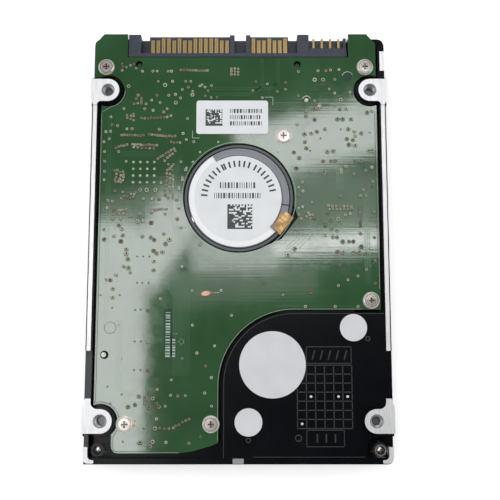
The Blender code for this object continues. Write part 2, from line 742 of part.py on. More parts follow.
def make_voice_coil_motor():
    legs = [box(29.3, 30.7, -35.2, -33.3, 1.0, 6.4), box(24.7, 26.9, -46.8, -44.8, 1.0, 6.4)]
    piece("upper_yoke", "nickel", prism(yoke_outline(), 0.62, 1.4), legs)
    piece("lower_yoke", "nickel", prism(yoke_outline(), 6.45, 7.4))
    sweep = sector(PIVOT, 9.6, 19.6, -62, -10, 10)
    piece("upper_magnet", "nickel", prism(sweep, 1.45, 2.6))
    piece("lower_magnet", "nickel", prism(sweep, 5.2, 6.4))


# ---- Small internals ----------------------------------------------------------------------


def make_ramp():
    top = CAVITY_TOP - GAP
    back = prism(sector(PIVOT, 35.2, 37.0, 154.4, 164, 3), 1.0, top)
    shelves = [prism(sector(PIVOT, 33.75, 35.4, 154.4, 163, 3), *heights)
               for heights in ((1.18, 2.17), (3.58, 4.57))]
    foot = prism(sector(PIVOT, 36.5, 39.5, 156, 163, 2), 4.7, top)
    piece("ramp", "white_plastic", back, shelves + [foot])


def make_latch():
    arm = prism(rounded(rectangle(LATCH[0] - 0.9, LATCH[0] + 0.9, -27.2, -22.0), 0.5, 2), 3.1, 4.5)
    hook = prism(rectangle(LATCH[0] - 2.0, LATCH[0], -27.2, -26.2), 3.1, 4.5)
    bore = cylinder(LATCH, 0.86, 2, 6, 20)
    piece("latch", "black_plastic", cylinder(LATCH, 1.7, 3.1, 4.5), [arm, hook], [bore], LATCH)
    pin = [(0, 2.2), (0.6, 2.2), (0.8, 2.4), (0.8, 6.6), (0, 6.6)]
    piece("latch_pin", "steel", lathe(pin, LATCH, 20))


def make_flex_cable():
    """A ribbon on edge from the arm block round to the head connector."""
    half = 0.06
    path = [(4.1, -33.1), (2.6, -35.2), (0.2, -36.9), (-3.0, -37.6), (-6.2, -37.0), (-8.6, -35.6),
            (-11.0, -34.6)]
    sides = []
    for way in (half, -half):
        line = []
        for i, point in enumerate(path):
            ahead = unit(path[max(i - 1, 0)], path[min(i + 1, len(path) - 1)])
            line.append((point[0] - ahead[1] * way, point[1] + ahead[0] * way))
        sides.append(line)
    piece("flex_cable", "amber_film", prism(sides[0] + sides[1][::-1], 1.6, 5.2))


def make_small_internals():
    make_voice_coil_motor()
    make_ramp()
    make_latch()
    make_flex_cable()
    filter_bag = swing([(-0.6, -2.4), (0.6, -2.4), (0.6, 2.4), (-0.6, 2.4)], (31.2, -11.0), 10)
    piece("recirculation_filter", "filter", prism(filter_bag, 1.0, CAVITY_TOP - GAP))


def make_labels():
    label = rounded(rectangle(-10.0, 6.85, 25.55, 33.65), 0.6, 3)
    piece("pcb_label", "paper", prism(label, BOARD_TOP + GAP, BOARD_TOP + 0.11))
    low, high = WALL_TOP + GAP, WALL_TOP + 0.13
    piece("pivot_seal", "paper", cylinder(PIVOT, 7.5, low, high, 56))
    piece("breather_seal", "paper", cylinder(BREATHER, 3.08, low, high, 40))
    piece("test_port_seal", "paper", cylinder(TEST_PORT, 3.1, low, high, 40))


def main():
    clear_scene()
    make_casting()
    make_cover()
    make_cover_screws()
    make_board()
    make_insulator()
    make_chips()
    make_board_screws()
    make_connector()
    make_motor()
    make_rotor()
    make_actuator()
    make_small_internals()
    make_labels()


main()
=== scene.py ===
import math
import random

import bpy
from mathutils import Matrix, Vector


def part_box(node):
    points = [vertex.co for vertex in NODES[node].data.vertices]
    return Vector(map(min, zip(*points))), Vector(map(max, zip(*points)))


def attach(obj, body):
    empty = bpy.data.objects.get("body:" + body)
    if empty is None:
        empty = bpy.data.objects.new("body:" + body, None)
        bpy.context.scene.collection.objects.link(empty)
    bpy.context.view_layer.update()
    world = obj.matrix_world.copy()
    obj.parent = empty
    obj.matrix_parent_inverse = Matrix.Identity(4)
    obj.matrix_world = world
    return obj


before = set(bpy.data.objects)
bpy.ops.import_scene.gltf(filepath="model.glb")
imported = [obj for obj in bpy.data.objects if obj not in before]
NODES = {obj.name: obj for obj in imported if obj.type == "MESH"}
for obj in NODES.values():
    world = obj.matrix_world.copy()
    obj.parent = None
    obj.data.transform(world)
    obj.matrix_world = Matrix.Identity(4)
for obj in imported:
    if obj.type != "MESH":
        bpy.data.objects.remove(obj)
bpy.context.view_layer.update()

# Lengths are in millimetres until a mesh or an object is made, in the row frame: +X right,
# +Y towards the connector, +Z out of the circuit board side.
MM = 0.001


def height(node, end):
    """The lowest (0) or highest (1) Z of a CAD node, in millimetres."""
    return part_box(node)[end].z / MM


def middle(node):
    low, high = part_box(node)
    return ((low.x + high.x) / 2 / MM, (low.y + high.y) / 2 / MM)


BOARD_TOP = height("pcb", 1)
LABEL_TOP = height("pcb_label", 1)
SPINDLE_LABEL_TOP = height("spindle_label", 1)
WALL_TOP = height("pivot_seal", 0) - 0.05
SPINDLE = middle("motor_flange")
PIVOT = middle("pivot_seal")
BOARD_SCREWS = [middle(f"pcb_screw_{number}") for number in range(1, 7)]
COVER_SCREWS = [middle(f"cover_screw_{number}") for number in range(1, 7)]
LUGS = ((-30.86, 36.1), (30.86, 36.1), (-30.86, -40.5), (30.86, -40.5))
SIDE_HOLE_HEIGHT = 6.5
# How far a thin piece sinks into the surface that it lies on
SINK = 0.01
SHARP_ANGLE = math.radians(40)


# ---- Outlines -----------------------------------------------------------------------------


def polar(centre, radius, degrees):
    angle = math.radians(degrees)
    return (centre[0] + radius * math.cos(angle), centre[1] + radius * math.sin(angle))


def arc(centre, radius, start, end, steps):
    return [polar(centre, radius, start + (end - start) * i / steps) for i in range(steps + 1)]


def circle(centre, radius, count):
    return [polar(centre, radius, 360 * i / count) for i in range(count)]


def rectangle(left, right, low, high):
    return [(left, low), (right, low), (right, high), (left, high)]


def spread(start, end, count):
    """count points evenly from start to end."""
    shares = [i / (count - 1) for i in range(count)]
    return [tuple(a + (b - a) * share for a, b in zip(start, end)) for share in shares]


# ---- Meshes -------------------------------------------------------------------------------


class Batch:
    """Closed solids collected into one mesh."""

    def __init__(self):
        self.points = []
        self.faces = []

    def rings(self, loops, closed=False):
        """A skin through loops of equal length; open ends are capped."""
        start, count = len(self.points), len(loops[0])
        for loop in loops:
            self.points += loop
        top = start + (len(loops) - 1) * count
        for row in range(len(loops) if closed else len(loops) - 1):
            low = start + row * count
            high = start + (row + 1) % len(loops) * count
            for i in range(count):
                j = (i + 1) % count
                self.faces.append((low + i, low + j, high + j, high + i))
        if not closed:
            self.faces.append(tuple(range(start, start + count))[::-1])
            self.faces.append(tuple(range(top, top + count)))

    def prism(self, outline, low, high):
        self.rings([[(x, y, z) for x, y in outline] for z in (low, high)])

    def box(self, left, right, near, far, low, high):
        self.prism(rectangle(left, right, near, far), low, high)

    def disc(self, centre, radius, low, high, count=12):
        self.prism(circle(centre, radius, count), low, high)

    def lathe(self, profile, centre, count=24, closed=False):
        """profile is (radius, z) pairs, up the outside, and where closed back down the inside."""
        loops = [[(*point, z) for point in circle(centre, radius, count)] for radius, z in profile]
        self.rings(loops, closed)

    def ring(self, centre, inner, outer, low, high, count=12):
        profile = ((outer, low), (outer, high), (inner, high), (inner, low))
        self.lathe(profile, centre, count, closed=True)

    def ribbon(self, path, width, low, high):
        """A flat strip along a path, with mitred corners."""
        half = width / 2
        loops = []
        for i, point in enumerate(path):
            before = Vector(path[max(i - 1, 0)])
            after = Vector(path[min(i + 1, len(path) - 1)])
            here = Vector(point)
            steps = [v.normalized() for v in (here - before, after - here) if v.length > 1e-9]
            along = sum(steps, Vector((0, 0))).normalized()
            reach = half / max(along.dot(steps[0]), 0.5)
            side = Vector((-along.y, along.x)) * reach
            left, right = here + side, here - side
            loops.append([(*right, low), (*left, low), (*left, high), (*right, high)])
        self.rings(loops)

    def build(self, name, material):
        mesh = bpy.data.meshes.new(name)
        points = [(x * MM, y * MM, z * MM) for x, y, z in self.points]
        mesh.from_pydata(points, [], self.faces)
        mesh.materials.append(material)
        mesh.shade_smooth()
        mesh.set_sharp_from_angle(angle=SHARP_ANGLE)
        obj = bpy.data.objects.new(name, mesh)
        bpy.context.scene.collection.objects.link(obj)
        return obj

    def make(self, name, material, slot):
        """One piece of the drive, riding on its body."""
        obj = self.build(name, material)
        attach(obj, "chassis")


# ---- Material nodes -----------------------------------------------------------------------


class Look:
    """A Principled material whose patterns are laid out in millimetres of the row frame."""

    def __init__(self, name, **sockets):
        self.material = bpy.data.materials.new(name)
        self.material.use_nodes = True
        self.tree = self.material.node_tree
        self.shader = self.tree.nodes["Principled BSDF"]
        for socket, value in sockets.items():
            self.shader.inputs[socket.replace("_", " ")].default_value = value
        place = self.tree.nodes.new("ShaderNodeTexCoord").outputs["Object"]
        self.place = self.vector("SCALE", place, scale=1 / MM)
        self.normal = None

    def new(self, kind, **settings):
        node = self.tree.nodes.new(kind)
        for key, value in settings.items():
            setattr(node, key, value)
        return node

    def feed(self, socket, value):
        if isinstance(value, bpy.types.NodeSocket):
            self.tree.links.new(value, socket)
        elif isinstance(value, (tuple, list)) and socket.type == "RGBA":
            socket.default_value = (*value, 1)
        else:
            socket.default_value = value

    def vector(self, operation, first, second=None, scale=None):
        node = self.new("ShaderNodeVectorMath", operation=operation)
        self.feed(node.inputs[0], first)
        if second is not None:
            self.feed(node.inputs[1], second)
        if scale is not None:
            node.inputs["Scale"].default_value = scale
        return node.outputs["Value" if operation == "LENGTH" else "Vector"]

    def math(self, operation, first, second):
        node = self.new("ShaderNodeMath", operation=operation)
        self.feed(node.inputs[0], first)
        self.feed(node.inputs[1], second)
        return node.outputs[0]

    def times(self, first, second):
        return self.math("MULTIPLY", first, second)

    def axis(self, letter):
        node = self.new("ShaderNodeSeparateXYZ")
        self.feed(node.inputs[0], self.place)
        return node.outputs[letter]

    def stretched(self, stretch, centre=(0, 0, 0)):
        moved = self.vector("SUBTRACT", self.place, centre)
        return self.vector("MULTIPLY", moved, stretch)

    def noise(self, scale, detail=2.0, roughness=0.5, place=None):
        node = self.new("ShaderNodeTexNoise")
        self.feed(node.inputs["Vector"], place or self.place)
        node.inputs["Scale"].default_value = scale
        node.inputs["Detail"].default_value = detail
        node.inputs["Roughness"].default_value = roughness
        return node.outputs["Fac"]

    def span(self, value, low, high, out_low=0.0, out_high=1.0):
        """value's range low to high becomes out_low to out_high, held at the ends."""
        node = self.new("ShaderNodeMapRange")
        self.feed(node.inputs["Value"], value)
        for socket, number in zip(("From Min", "From Max", "To Min", "To Max"),
                                  (low, high, out_low, out_high)):
            node.inputs[socket].default_value = number
        return node.outputs["Result"]

    def blend(self, share, first, second):
        node = self.new("ShaderNodeMix", data_type="RGBA")
        self.feed(node.inputs["Factor"], share)
        self.feed(node.inputs[6], first)
        self.feed(node.inputs[7], second)
        return node.outputs[2]

    def radius(self, centre):
        """The distance from a vertical axis."""
        return self.vector("LENGTH", self.stretched((1, 1, 0), (*centre, 0)))

    def circular(self, centre, scale, drift=0.02):
        """Rings of noise around a vertical axis, as turning leaves, that drift slowly."""
        node = self.new("ShaderNodeCombineXYZ")
        self.feed(node.inputs["X"], self.radius(centre))
        slow = self.vector("SCALE", self.place, scale=drift)
        place = self.vector("ADD", node.outputs[0], slow)
        return self.noise(scale, 3, 0.6, place)

    def colour(self, value):
        self.feed(self.shader.inputs["Base Color"], value)

    def tint(self, pattern, low, high, first, second):
        """The base colour goes from first to second as the pattern goes from low to high."""
        self.colour(self.blend(self.span(pattern, low, high), first, second))

    def roughness(self, value):
        self.feed(self.shader.inputs["Roughness"], value)

    def gloss(self, pattern, first, second):
        """The roughness goes from first to second over the usual range of the pattern."""
        self.roughness(self.span(pattern, 0.3, 0.7, first, second))

    def metallic(self, value):
        self.feed(self.shader.inputs["Metallic"], value)

    def facing_up(self, low, high):
        """Goes from 0 to 1 as the upward part of the face's normal goes from low to high."""
        node = self.new("ShaderNodeNewGeometry")
        split = self.new("ShaderNodeSeparateXYZ")
        self.feed(split.inputs[0], node.outputs["True Normal"])
        return self.span(split.outputs["Z"], low, high)

    def bump(self, value, depth):
        """Relief of that depth in millimetres for a value from 0 to 1; calls add up."""
        node = self.new("ShaderNodeBump")
        node.inputs["Strength"].default_value = 1.0
        node.inputs["Distance"].default_value = depth * MM
        self.feed(node.inputs["Height"], value)
        if self.normal:
            self.feed(node.inputs["Normal"], self.normal)
        self.normal = node.outputs["Normal"]
        self.feed(self.shader.inputs["Normal"], self.normal)


# ---- Materials ----------------------------------------------------------------------------

BLACK_PAINT = (0.0012, 0.0018, 0.003)
WORN_PAINT = (0.003, 0.0036, 0.005)
STRIP_REFLECTION_GREY = (0.055, 0.056, 0.06)
MOTOR_GREY = (0.105, 0.12, 0.125)
BARE_METAL = (0.95, 0.95, 0.955)
SHADED_METAL = (0.8, 0.803, 0.82)
PAINTED_THREAD_SHADE = (0.3, 0.3, 0.31)
BOARD_GREEN = (0.022, 0.072, 0.024)
BOARD_PALE = (0.0285, 0.092, 0.0325)
BOARD_EDGE = (0.16, 0.19, 0.07)
BOARD_EDGE_DARK = (0.07, 0.12, 0.04)
RECESS_SHADE_BROWN = (0.1, 0.085, 0.08)
# Stretches that draw noise out into lines, along the axis with the smallest number
ALONG_Y = (1.0, 0.08, 1.0)
WEFT = (0.04, 2.3, 1.0)
WARP = (2.3, 0.04, 1.0)
BRUSHED = (0.04, 1.6, 1.0)
WIPED = (4.0, 0.1, 1.0)
FIBRES = (1.0, 0.4, 2.0)


def casting_paint(look):
    """Black coating, a grey strip of painted reflection at the lower left edge, a grey ring round
    the motor.
    """
    worn = look.span(look.noise(0.12, 3, 0.6), 0.4, 0.7)
    paint = look.blend(worn, BLACK_PAINT, WORN_PAINT)
    level = look.axis("Z")
    # The grey strip on the lower left edge is a painted reflection of the light on the left.
    strip = look.times(look.span(look.axis("X"), -33.2, -33.1, 1, 0), look.span(level, 8.55, 8.6))
    strip = look.times(strip, look.span(look.axis("Y"), -24.9, -24.8, 1, 0))
    paint = look.blend(strip, paint, STRIP_REFLECTION_GREY)
    around = look.radius(SPINDLE)
    ring = look.times(look.span(around, 11.95, 12.05), look.span(around, 12.7, 12.75, 1, 0))
    ring = look.times(ring, look.span(level, 8.5, 8.55))
    return look.blend(ring, paint, MOTOR_GREY)


def casting_look():
    """Coated casting with bare machined faces on the lugs, rails and thread mouths, and painted
    shade.
    """
    look = Look("black_casting_look", Specular_IOR_Level=0.16)
    paint = casting_paint(look)
    level = look.axis("Z")
    machined = look.times(look.span(level, 9.1, 9.14), look.facing_up(0.75, 0.9))
    for lug in LUGS:
        near = look.span(look.radius(lug), 1.8, 1.86, 1, 0)
        deep = look.times(near, look.span(level, 6.8, 7.0))
        machined = look.math("MAXIMUM", machined, deep)
    streaks = look.noise(3.0, 3, 0.6, look.stretched(ALONG_Y))
    metal = look.blend(look.span(streaks, 0.35, 0.7), BARE_METAL, SHADED_METAL)
    # Machined faces that do not face straight up, such as the thread walls and chamfers, get painted
    # shade.
    flat = look.times(look.facing_up(0.95, 0.97), machined)
    metal = look.blend(flat, PAINTED_THREAD_SHADE, metal)
    look.colour(look.blend(machined, paint, metal))
    look.metallic(look.times(machined, 0.85))
    grain = look.noise(5.0, 3, 0.55)
    coat = look.span(grain, 0.3, 0.7, 0.2, 0.3)
    look.roughness(look.math("ADD", coat, look.times(machined, 0.2)))
    look.bump(look.times(grain, look.span(machined, 0, 1, 1.0, 0.2)), 0.005)
    return look.material


def board_look():
    """Green mask over glass cloth, with pale cut edges."""
    look = Look("green_board_look", Specular_IOR_Level=1.0)
    patches = look.noise(0.09)
    green = look.blend(look.span(patches, 0.35, 0.65), BOARD_GREEN, BOARD_PALE)
    edge = look.blend(look.noise(4.0, 3, 0.6), BOARD_EDGE, BOARD_EDGE_DARK)
    look.colour(look.blend(look.facing_up(0.3, 0.6), edge, green))
    look.gloss(look.noise(0.5, 3, 0.6), 0.06, 0.1)
    look.bump(look.noise(1.0, 1, place=look.stretched(WEFT)), 0.003)
    look.bump(look.noise(1.0, 1, place=look.stretched(WARP)), 0.0008)
    look.bump(patches, 0.012)
    return look.material


def track_look():
    look = Look("masked_track_look", Roughness=0.13, Specular_IOR_Level=1.0)
    look.colour(look.blend(look.noise(0.6), (0.024, 0.09, 0.034), (0.032, 0.118, 0.046)))
    look.bump(look.noise(3.0), 0.004)
    return look.material


def pad_look(name, first, second, roughness):
    """Tinned or gilded copper, a little uneven from pad to pad."""
    look = Look(name, Metallic=0.55, Roughness=roughness)
    look.tint(look.noise(0.35), 0.42, 0.58, first, second)
    look.bump(look.noise(6.0), 0.01)
    return look.material


def ink_look(name, colour):
    look = Look(name, Roughness=0.55)
    pale = tuple(value * 1.5 + 0.01 for value in colour)
    look.tint(look.noise(7.0, 3), 0.45, 0.75, colour, pale)
    look.bump(look.noise(9.0), 0.003)
    return look.material


def gold_look():
    look = Look("gold_contact_look", Metallic=1.0)
    wiped = look.noise(3.0, 3, 0.6, look.stretched(WIPED))
    look.tint(wiped, 0.3, 0.75, (0.62, 0.45, 0.2), (0.42, 0.28, 0.11))
    look.gloss(wiped, 0.26, 0.38)
    look.bump(wiped, 0.0015)
    return look.material


def slate_look():
    """Glass-filled moulding, faintly mottled."""
    look = Look("slate_housing_look")
    mottle = look.noise(3.2, 4, 0.65)
    look.tint(mottle, 0.35, 0.7, (0.018, 0.024, 0.038), (0.048, 0.056, 0.08))
    look.gloss(mottle, 0.34, 0.5)
    look.bump(look.noise(7.0, 3, 0.6), 0.009)
    return look.material


def turned_metal(name, centre, first, second, roughness, depth=0.004, metallic=1.0):
    """A Look of metal with fine turning rings around a vertical axis."""
    look = Look(name, Metallic=metallic)
    rings = look.circular(centre, 3.5)
    look.tint(rings, 0.35, 0.65, first, second)
    look.gloss(rings, roughness - 0.06, roughness + 0.08)
    look.bump(rings, depth)
    return look


def brushed_look(name, first, second, roughness):
    look = Look(name, Metallic=1.0)
    lines = look.noise(5.0, 4, 0.65, look.stretched(BRUSHED))
    look.tint(lines, 0.3, 0.7, first, second)
    look.gloss(look.noise(0.08, 3, 0.6), roughness - 0.05, roughness + 0.07)
    look.bump(lines, 0.003)
    return look.material


def screw_look(name, centre):
    """Nickel with painted shade in the cross recess and in a band between the head's face and its
    rim.
    """
    look = turned_metal(name, centre, (0.7, 0.655, 0.63), (0.54, 0.49, 0.465), 0.27, 0.0008, 0.9)
    around = look.radius(centre)
    # The darker band and the dark recess are painted shade.
    band = look.times(look.span(around, 1.32, 1.38), look.span(around, 1.5, 1.56, 1, 0))
    deep = look.span(look.axis("Z"), 9.3, 9.36, 1, 0)
    recess = look.times(deep, look.span(around, 0.9, 0.95, 1, 0))
    shade = look.math("MAXIMUM", look.times(band, 0.55), recess)
    metal = look.blend(look.noise(1.6, 3, 0.6), (0.72, 0.67, 0.64), (0.42, 0.37, 0.34))
    look.colour(look.blend(shade, metal, RECESS_SHADE_BROWN))
    return look.material


def nickel_look():
    look = Look("nickel_look", Metallic=1.0)
    wear = look.noise(2.4, 4, 0.6)
    look.tint(wear, 0.4, 0.7, (0.8, 0.78, 0.75), (0.5, 0.46, 0.42))
    look.gloss(wear, 0.18, 0.36)
    look.bump(look.noise(5.0, 3), 0.006)
    return look.material


def mirror_look():
    look = Look("platter_look", Metallic=1.0)
    bands = look.circular(SPINDLE, 0.7, 0.002)
    look.colour(look.blend(bands, (0.88, 0.89, 0.9), (0.82, 0.83, 0.86)))
    look.gloss(look.noise(0.3, 3), 0.02, 0.06)
    return look.material


def paper_look(name, pale, grey):
    """Coated label film with a faint fibre and soft lifting at the surface."""
    look = Look(name)
    look.tint(look.noise(0.25, 3), 0.3, 0.75, pale, grey)
    look.gloss(look.noise(3.0), 0.42, 0.56)
    look.bump(look.noise(11.0, 3, 0.6), 0.003)
    look.bump(look.noise(0.4), 0.02)
    return look.material


def plastic_look(name, colour, roughness, grain=6.0, depth=0.01):
    look = Look(name)
    pale = tuple(value * 1.35 + 0.004 for value in colour)
    look.tint(look.noise(0.9, 3), 0.35, 0.7, colour, pale)
    look.gloss(look.noise(1.5, 3), roughness - 0.07, roughness + 0.07)
    look.bump(look.noise(grain, 3, 0.6), depth)
    return look.material


def winding_look():
    """Enamelled wire, wound in fine parallel turns."""
    look = Look("winding_look", Metallic=0.8, Roughness=0.35)
    wave = look.new("ShaderNodeTexWave", wave_type="BANDS", bands_direction="Z")
    look.feed(wave.inputs["Vector"], look.place)
    wave.inputs["Scale"].default_value = 2.2
    wave.inputs["Distortion"].default_value = 0.6
    turns = wave.outputs["Fac"]
    look.colour(look.blend(turns, (0.32, 0.1, 0.04), (0.72, 0.3, 0.12)))
    look.bump(turns, 0.05)
    return look.material


def film_look():
    """Amber polyimide with copper tracks under it."""
    look = Look("amber_film_look", Roughness=0.22, Coat_Weight=0.4)
    look.colour(look.blend(look.noise(1.2, 3), (0.42, 0.17, 0.03), (0.62, 0.31, 0.08)))
    look.bump(look.noise(2.0), 0.015)
    return look.material


def felt_look():
    look = Look("filter_look", Roughness=0.95)
    fibres = look.noise(4.0, 5, 0.75, look.stretched(FIBRES))
    look.colour(look.blend(fibres, (0.74, 0.74, 0.7), (0.92, 0.92, 0.9)))
    look.bump(fibres, 0.08)
    return look.material


# ---- CAD nodes: smoothing and looks ---------------------------------------------------------

SMOOTH_ANGLE = math.radians(38)
MERGE_DISTANCE = 2e-6


def smoothing_group():
    """Shades a faceted node smooth, except where its faces meet at a sharper angle."""
    group = bpy.data.node_groups.new("smooth_by_angle", "GeometryNodeTree")
    for way in ("INPUT", "OUTPUT"):
        group.interface.new_socket("Geometry", in_out=way, socket_type="NodeSocketGeometry")
    nodes, links = group.nodes, group.links
    merge = nodes.new("GeometryNodeMergeByDistance")
    merge.inputs["Distance"].default_value = MERGE_DISTANCE
    plain = nodes.new("GeometryNodeRemoveAttribute")
    plain.inputs["Name"].default_value = "custom_normal"
    faces = nodes.new("GeometryNodeSetShadeSmooth")
    edges = nodes.new("GeometryNodeSetShadeSmooth")
    edges.domain = "EDGE"
    edges.inputs["Shade Smooth"].default_value = False
    angle = nodes.new("GeometryNodeInputMeshEdgeAngle")
    sharp = nodes.new("FunctionNodeCompare")
    sharp.operation = "GREATER_THAN"
    sharp.inputs[1].default_value = SMOOTH_ANGLE
    links.new(angle.outputs["Unsigned Angle"], sharp.inputs[0])
    links.new(sharp.outputs[0], edges.inputs["Selection"])
    chain = [nodes.new("NodeGroupInput"), merge, plain, faces, edges, nodes.new("NodeGroupOutput")]
    for before, after in zip(chain, chain[1:]):
        links.new(before.outputs[0], after.inputs[0])
    return group


def numbered(name, count):
    return [f"{name}_{number}" for number in range(1, count + 1)]


def metal_dresses():
    """(material, CAD nodes) of the metal parts."""
    steel = brushed_look("steel_look", (0.6, 0.61, 0.63), (0.5, 0.51, 0.53), 0.3)
    yield steel, ["top_cover", "latch_pin", "pivot_shaft", "stator_core"]
    yield steel, numbered("cover_screw", 6) + numbered("suspension", 4)
    flange = turned_metal("flange_look", SPINDLE, (0.26, 0.265, 0.295), (0.2, 0.205, 0.23), 0.42,
                          metallic=0.5)
    yield flange.material, ["motor_flange"]
    turned = turned_metal("turned_steel_look", SPINDLE, (0.66, 0.67, 0.69), (0.5, 0.51, 0.53), 0.25)
    yield turned.material, ["spindle_shaft", "disc_clamp", "clamp_screw"]
    race = turned_metal("race_look", PIVOT, (0.6, 0.61, 0.63), (0.42, 0.43, 0.45), 0.22)
    yield race.material, ["pivot_bearing"]
    for number, screw in enumerate(BOARD_SCREWS, 1):
        yield screw_look(f"board_screw_look_{number}", screw), [f"pcb_screw_{number}"]
    yield nickel_look(), ["bearing_sleeve", "upper_yoke", "lower_yoke", "upper_magnet",
                          "lower_magnet"]
    cast = turned_metal("turned_aluminium_look", SPINDLE, (0.82, 0.82, 0.84), (0.7, 0.7, 0.72), 0.3)
    yield cast.material, ["spindle_hub", "platter_spacer"]
    arm = brushed_look("arm_look", (0.78, 0.78, 0.8), (0.68, 0.68, 0.7), 0.34)
    yield arm, ["arm_block"]
    yield mirror_look(), ["platter_1", "platter_2"]
    yield winding_look(), ["stator_windings", "voice_coil"]
    yield gold_look(), ["power_contacts", "signal_contacts", "jumper_pins"]


def other_dresses():
    """(material, CAD nodes) of the coated, moulded and paper parts."""
    yield casting_look(), ["base_casting"]
    yield board_look(), ["pcb"]
    yield slate_look(), ["sata_housing"]
    black = plastic_look("black_plastic_look", (0.012, 0.012, 0.013), 0.5)
    yield black, ["controller_chip", "memory_chip", "motor_driver_chip", "head_connector", "latch"]
    yield plastic_look("white_plastic_look", (0.8, 0.79, 0.75), 0.4), ["ramp"]
    yield film_look(), ["motor_flex", "flex_cable"]
    film = plastic_look("dark_film_look", (0.02, 0.02, 0.02), 0.6, 10.0, 0.004)
    yield film, ["pcb_insulator"]
    gasket = plastic_look("gasket_look", (0.02, 0.02, 0.02), 0.8, 12.0, 0.02)
    yield gasket, ["cover_gasket"]
    ferrite = plastic_look("ferrite_look", (0.1, 0.1, 0.11), 0.55, 14.0, 0.02)
    yield ferrite, ["rotor_magnet"]
    label = paper_look("label_look", (0.76, 0.785, 0.8), (0.7, 0.73, 0.755))
    yield label, ["spindle_label", "pcb_label"]
    seal = paper_look("seal_look", (0.66, 0.67, 0.69), (0.6, 0.61, 0.64))
    yield seal, ["pivot_seal", "breather_seal", "test_port_seal"]
    yield felt_look(), ["recirculation_filter"]


def dress_nodes():
    """Gives every CAD node its look and smooth shading."""
    group = smoothing_group()
    for material, names in [*metal_dresses(), *other_dresses()]:
        for name in names:
            for slot in NODES[name].material_slots:
                slot.material = material
            NODES[name].modifiers.new("smooth", "NODES").node_group = group


# ---- Board details --------------------------------------------------------------------------

# (first, last, count) of each straight row of small plated holes
VIA_ROWS = (
    ((-13.8, 41.2), (-7.5, 41.0), 10),
    ((-1.8, 41.6), (-0.2, 41.6), 3),
    ((-1.8, 40.8), (-0.2, 40.8), 3),
    ((-1.8, 40.0), (-0.2, 40.0), 3),
    ((-22.9, 29.4), (-16.9, 29.7), 9),
    ((-27.5, 25.3), (-22.4, 25.2), 9),
    ((-21.1, 25.4), (-15.0, 25.0), 10),
    ((-28.8, 22.2), (-26.2, 23.1), 5),
    ((-24.9, 23.0), (-19.1, 22.9), 10),
    ((-24.6, 22.3), (-19.9, 22.2), 6),
    ((-15.8, 23.6), (-13.8, 23.5), 4),
    ((-18.9, 19.7), (-15.2, 22.1), 7),
    ((-17.3, 19.2), (-14.9, 21.4), 5),
    ((-19.4, 7.6), (-16.8, 7.8), 5),
    ((20.8, 8.4), (26.1, 8.4), 7),
    ((21.0, 7.7), (26.1, 7.7), 7),
    ((28.1, 7.7), (28.1, 3.6), 6),
    ((-17.5, -42.1), (-14.5, -42.0), 4),
    ((-14.0, -41.6), (-11.0, -40.1), 5),
)

# (middle, half size, count) of each dense group of small plated holes
VIA_GROUPS = (
    ((-27.9, 15.4), (1.1, 1.5), 15),
    ((-16.1, 16.4), (0.9, 2.2), 14),
    ((-16.4, 12.4), (1.1, 2.1), 14),
    ((-25.4, 11.0), (2.0, 0.9), 9),
    ((-27.5, 7.0), (1.6, 0.7), 9),
    ((-25.6, 29.7), (0.9, 0.8), 7),
    ((-23.8, 33.5), (1.0, 0.8), 6),
    ((-20.6, -36.2), (0.6, 1.0), 4),
    ((16.5, 6.3), (1.0, 0.9), 6),
    ((-8.8, 36.0), (4.0, 2.3), 10),
    ((10.0, 36.2), (7.0, 2.6), 8),
    ((-26.2, 42.3), (1.9, 0.7), 6),
)

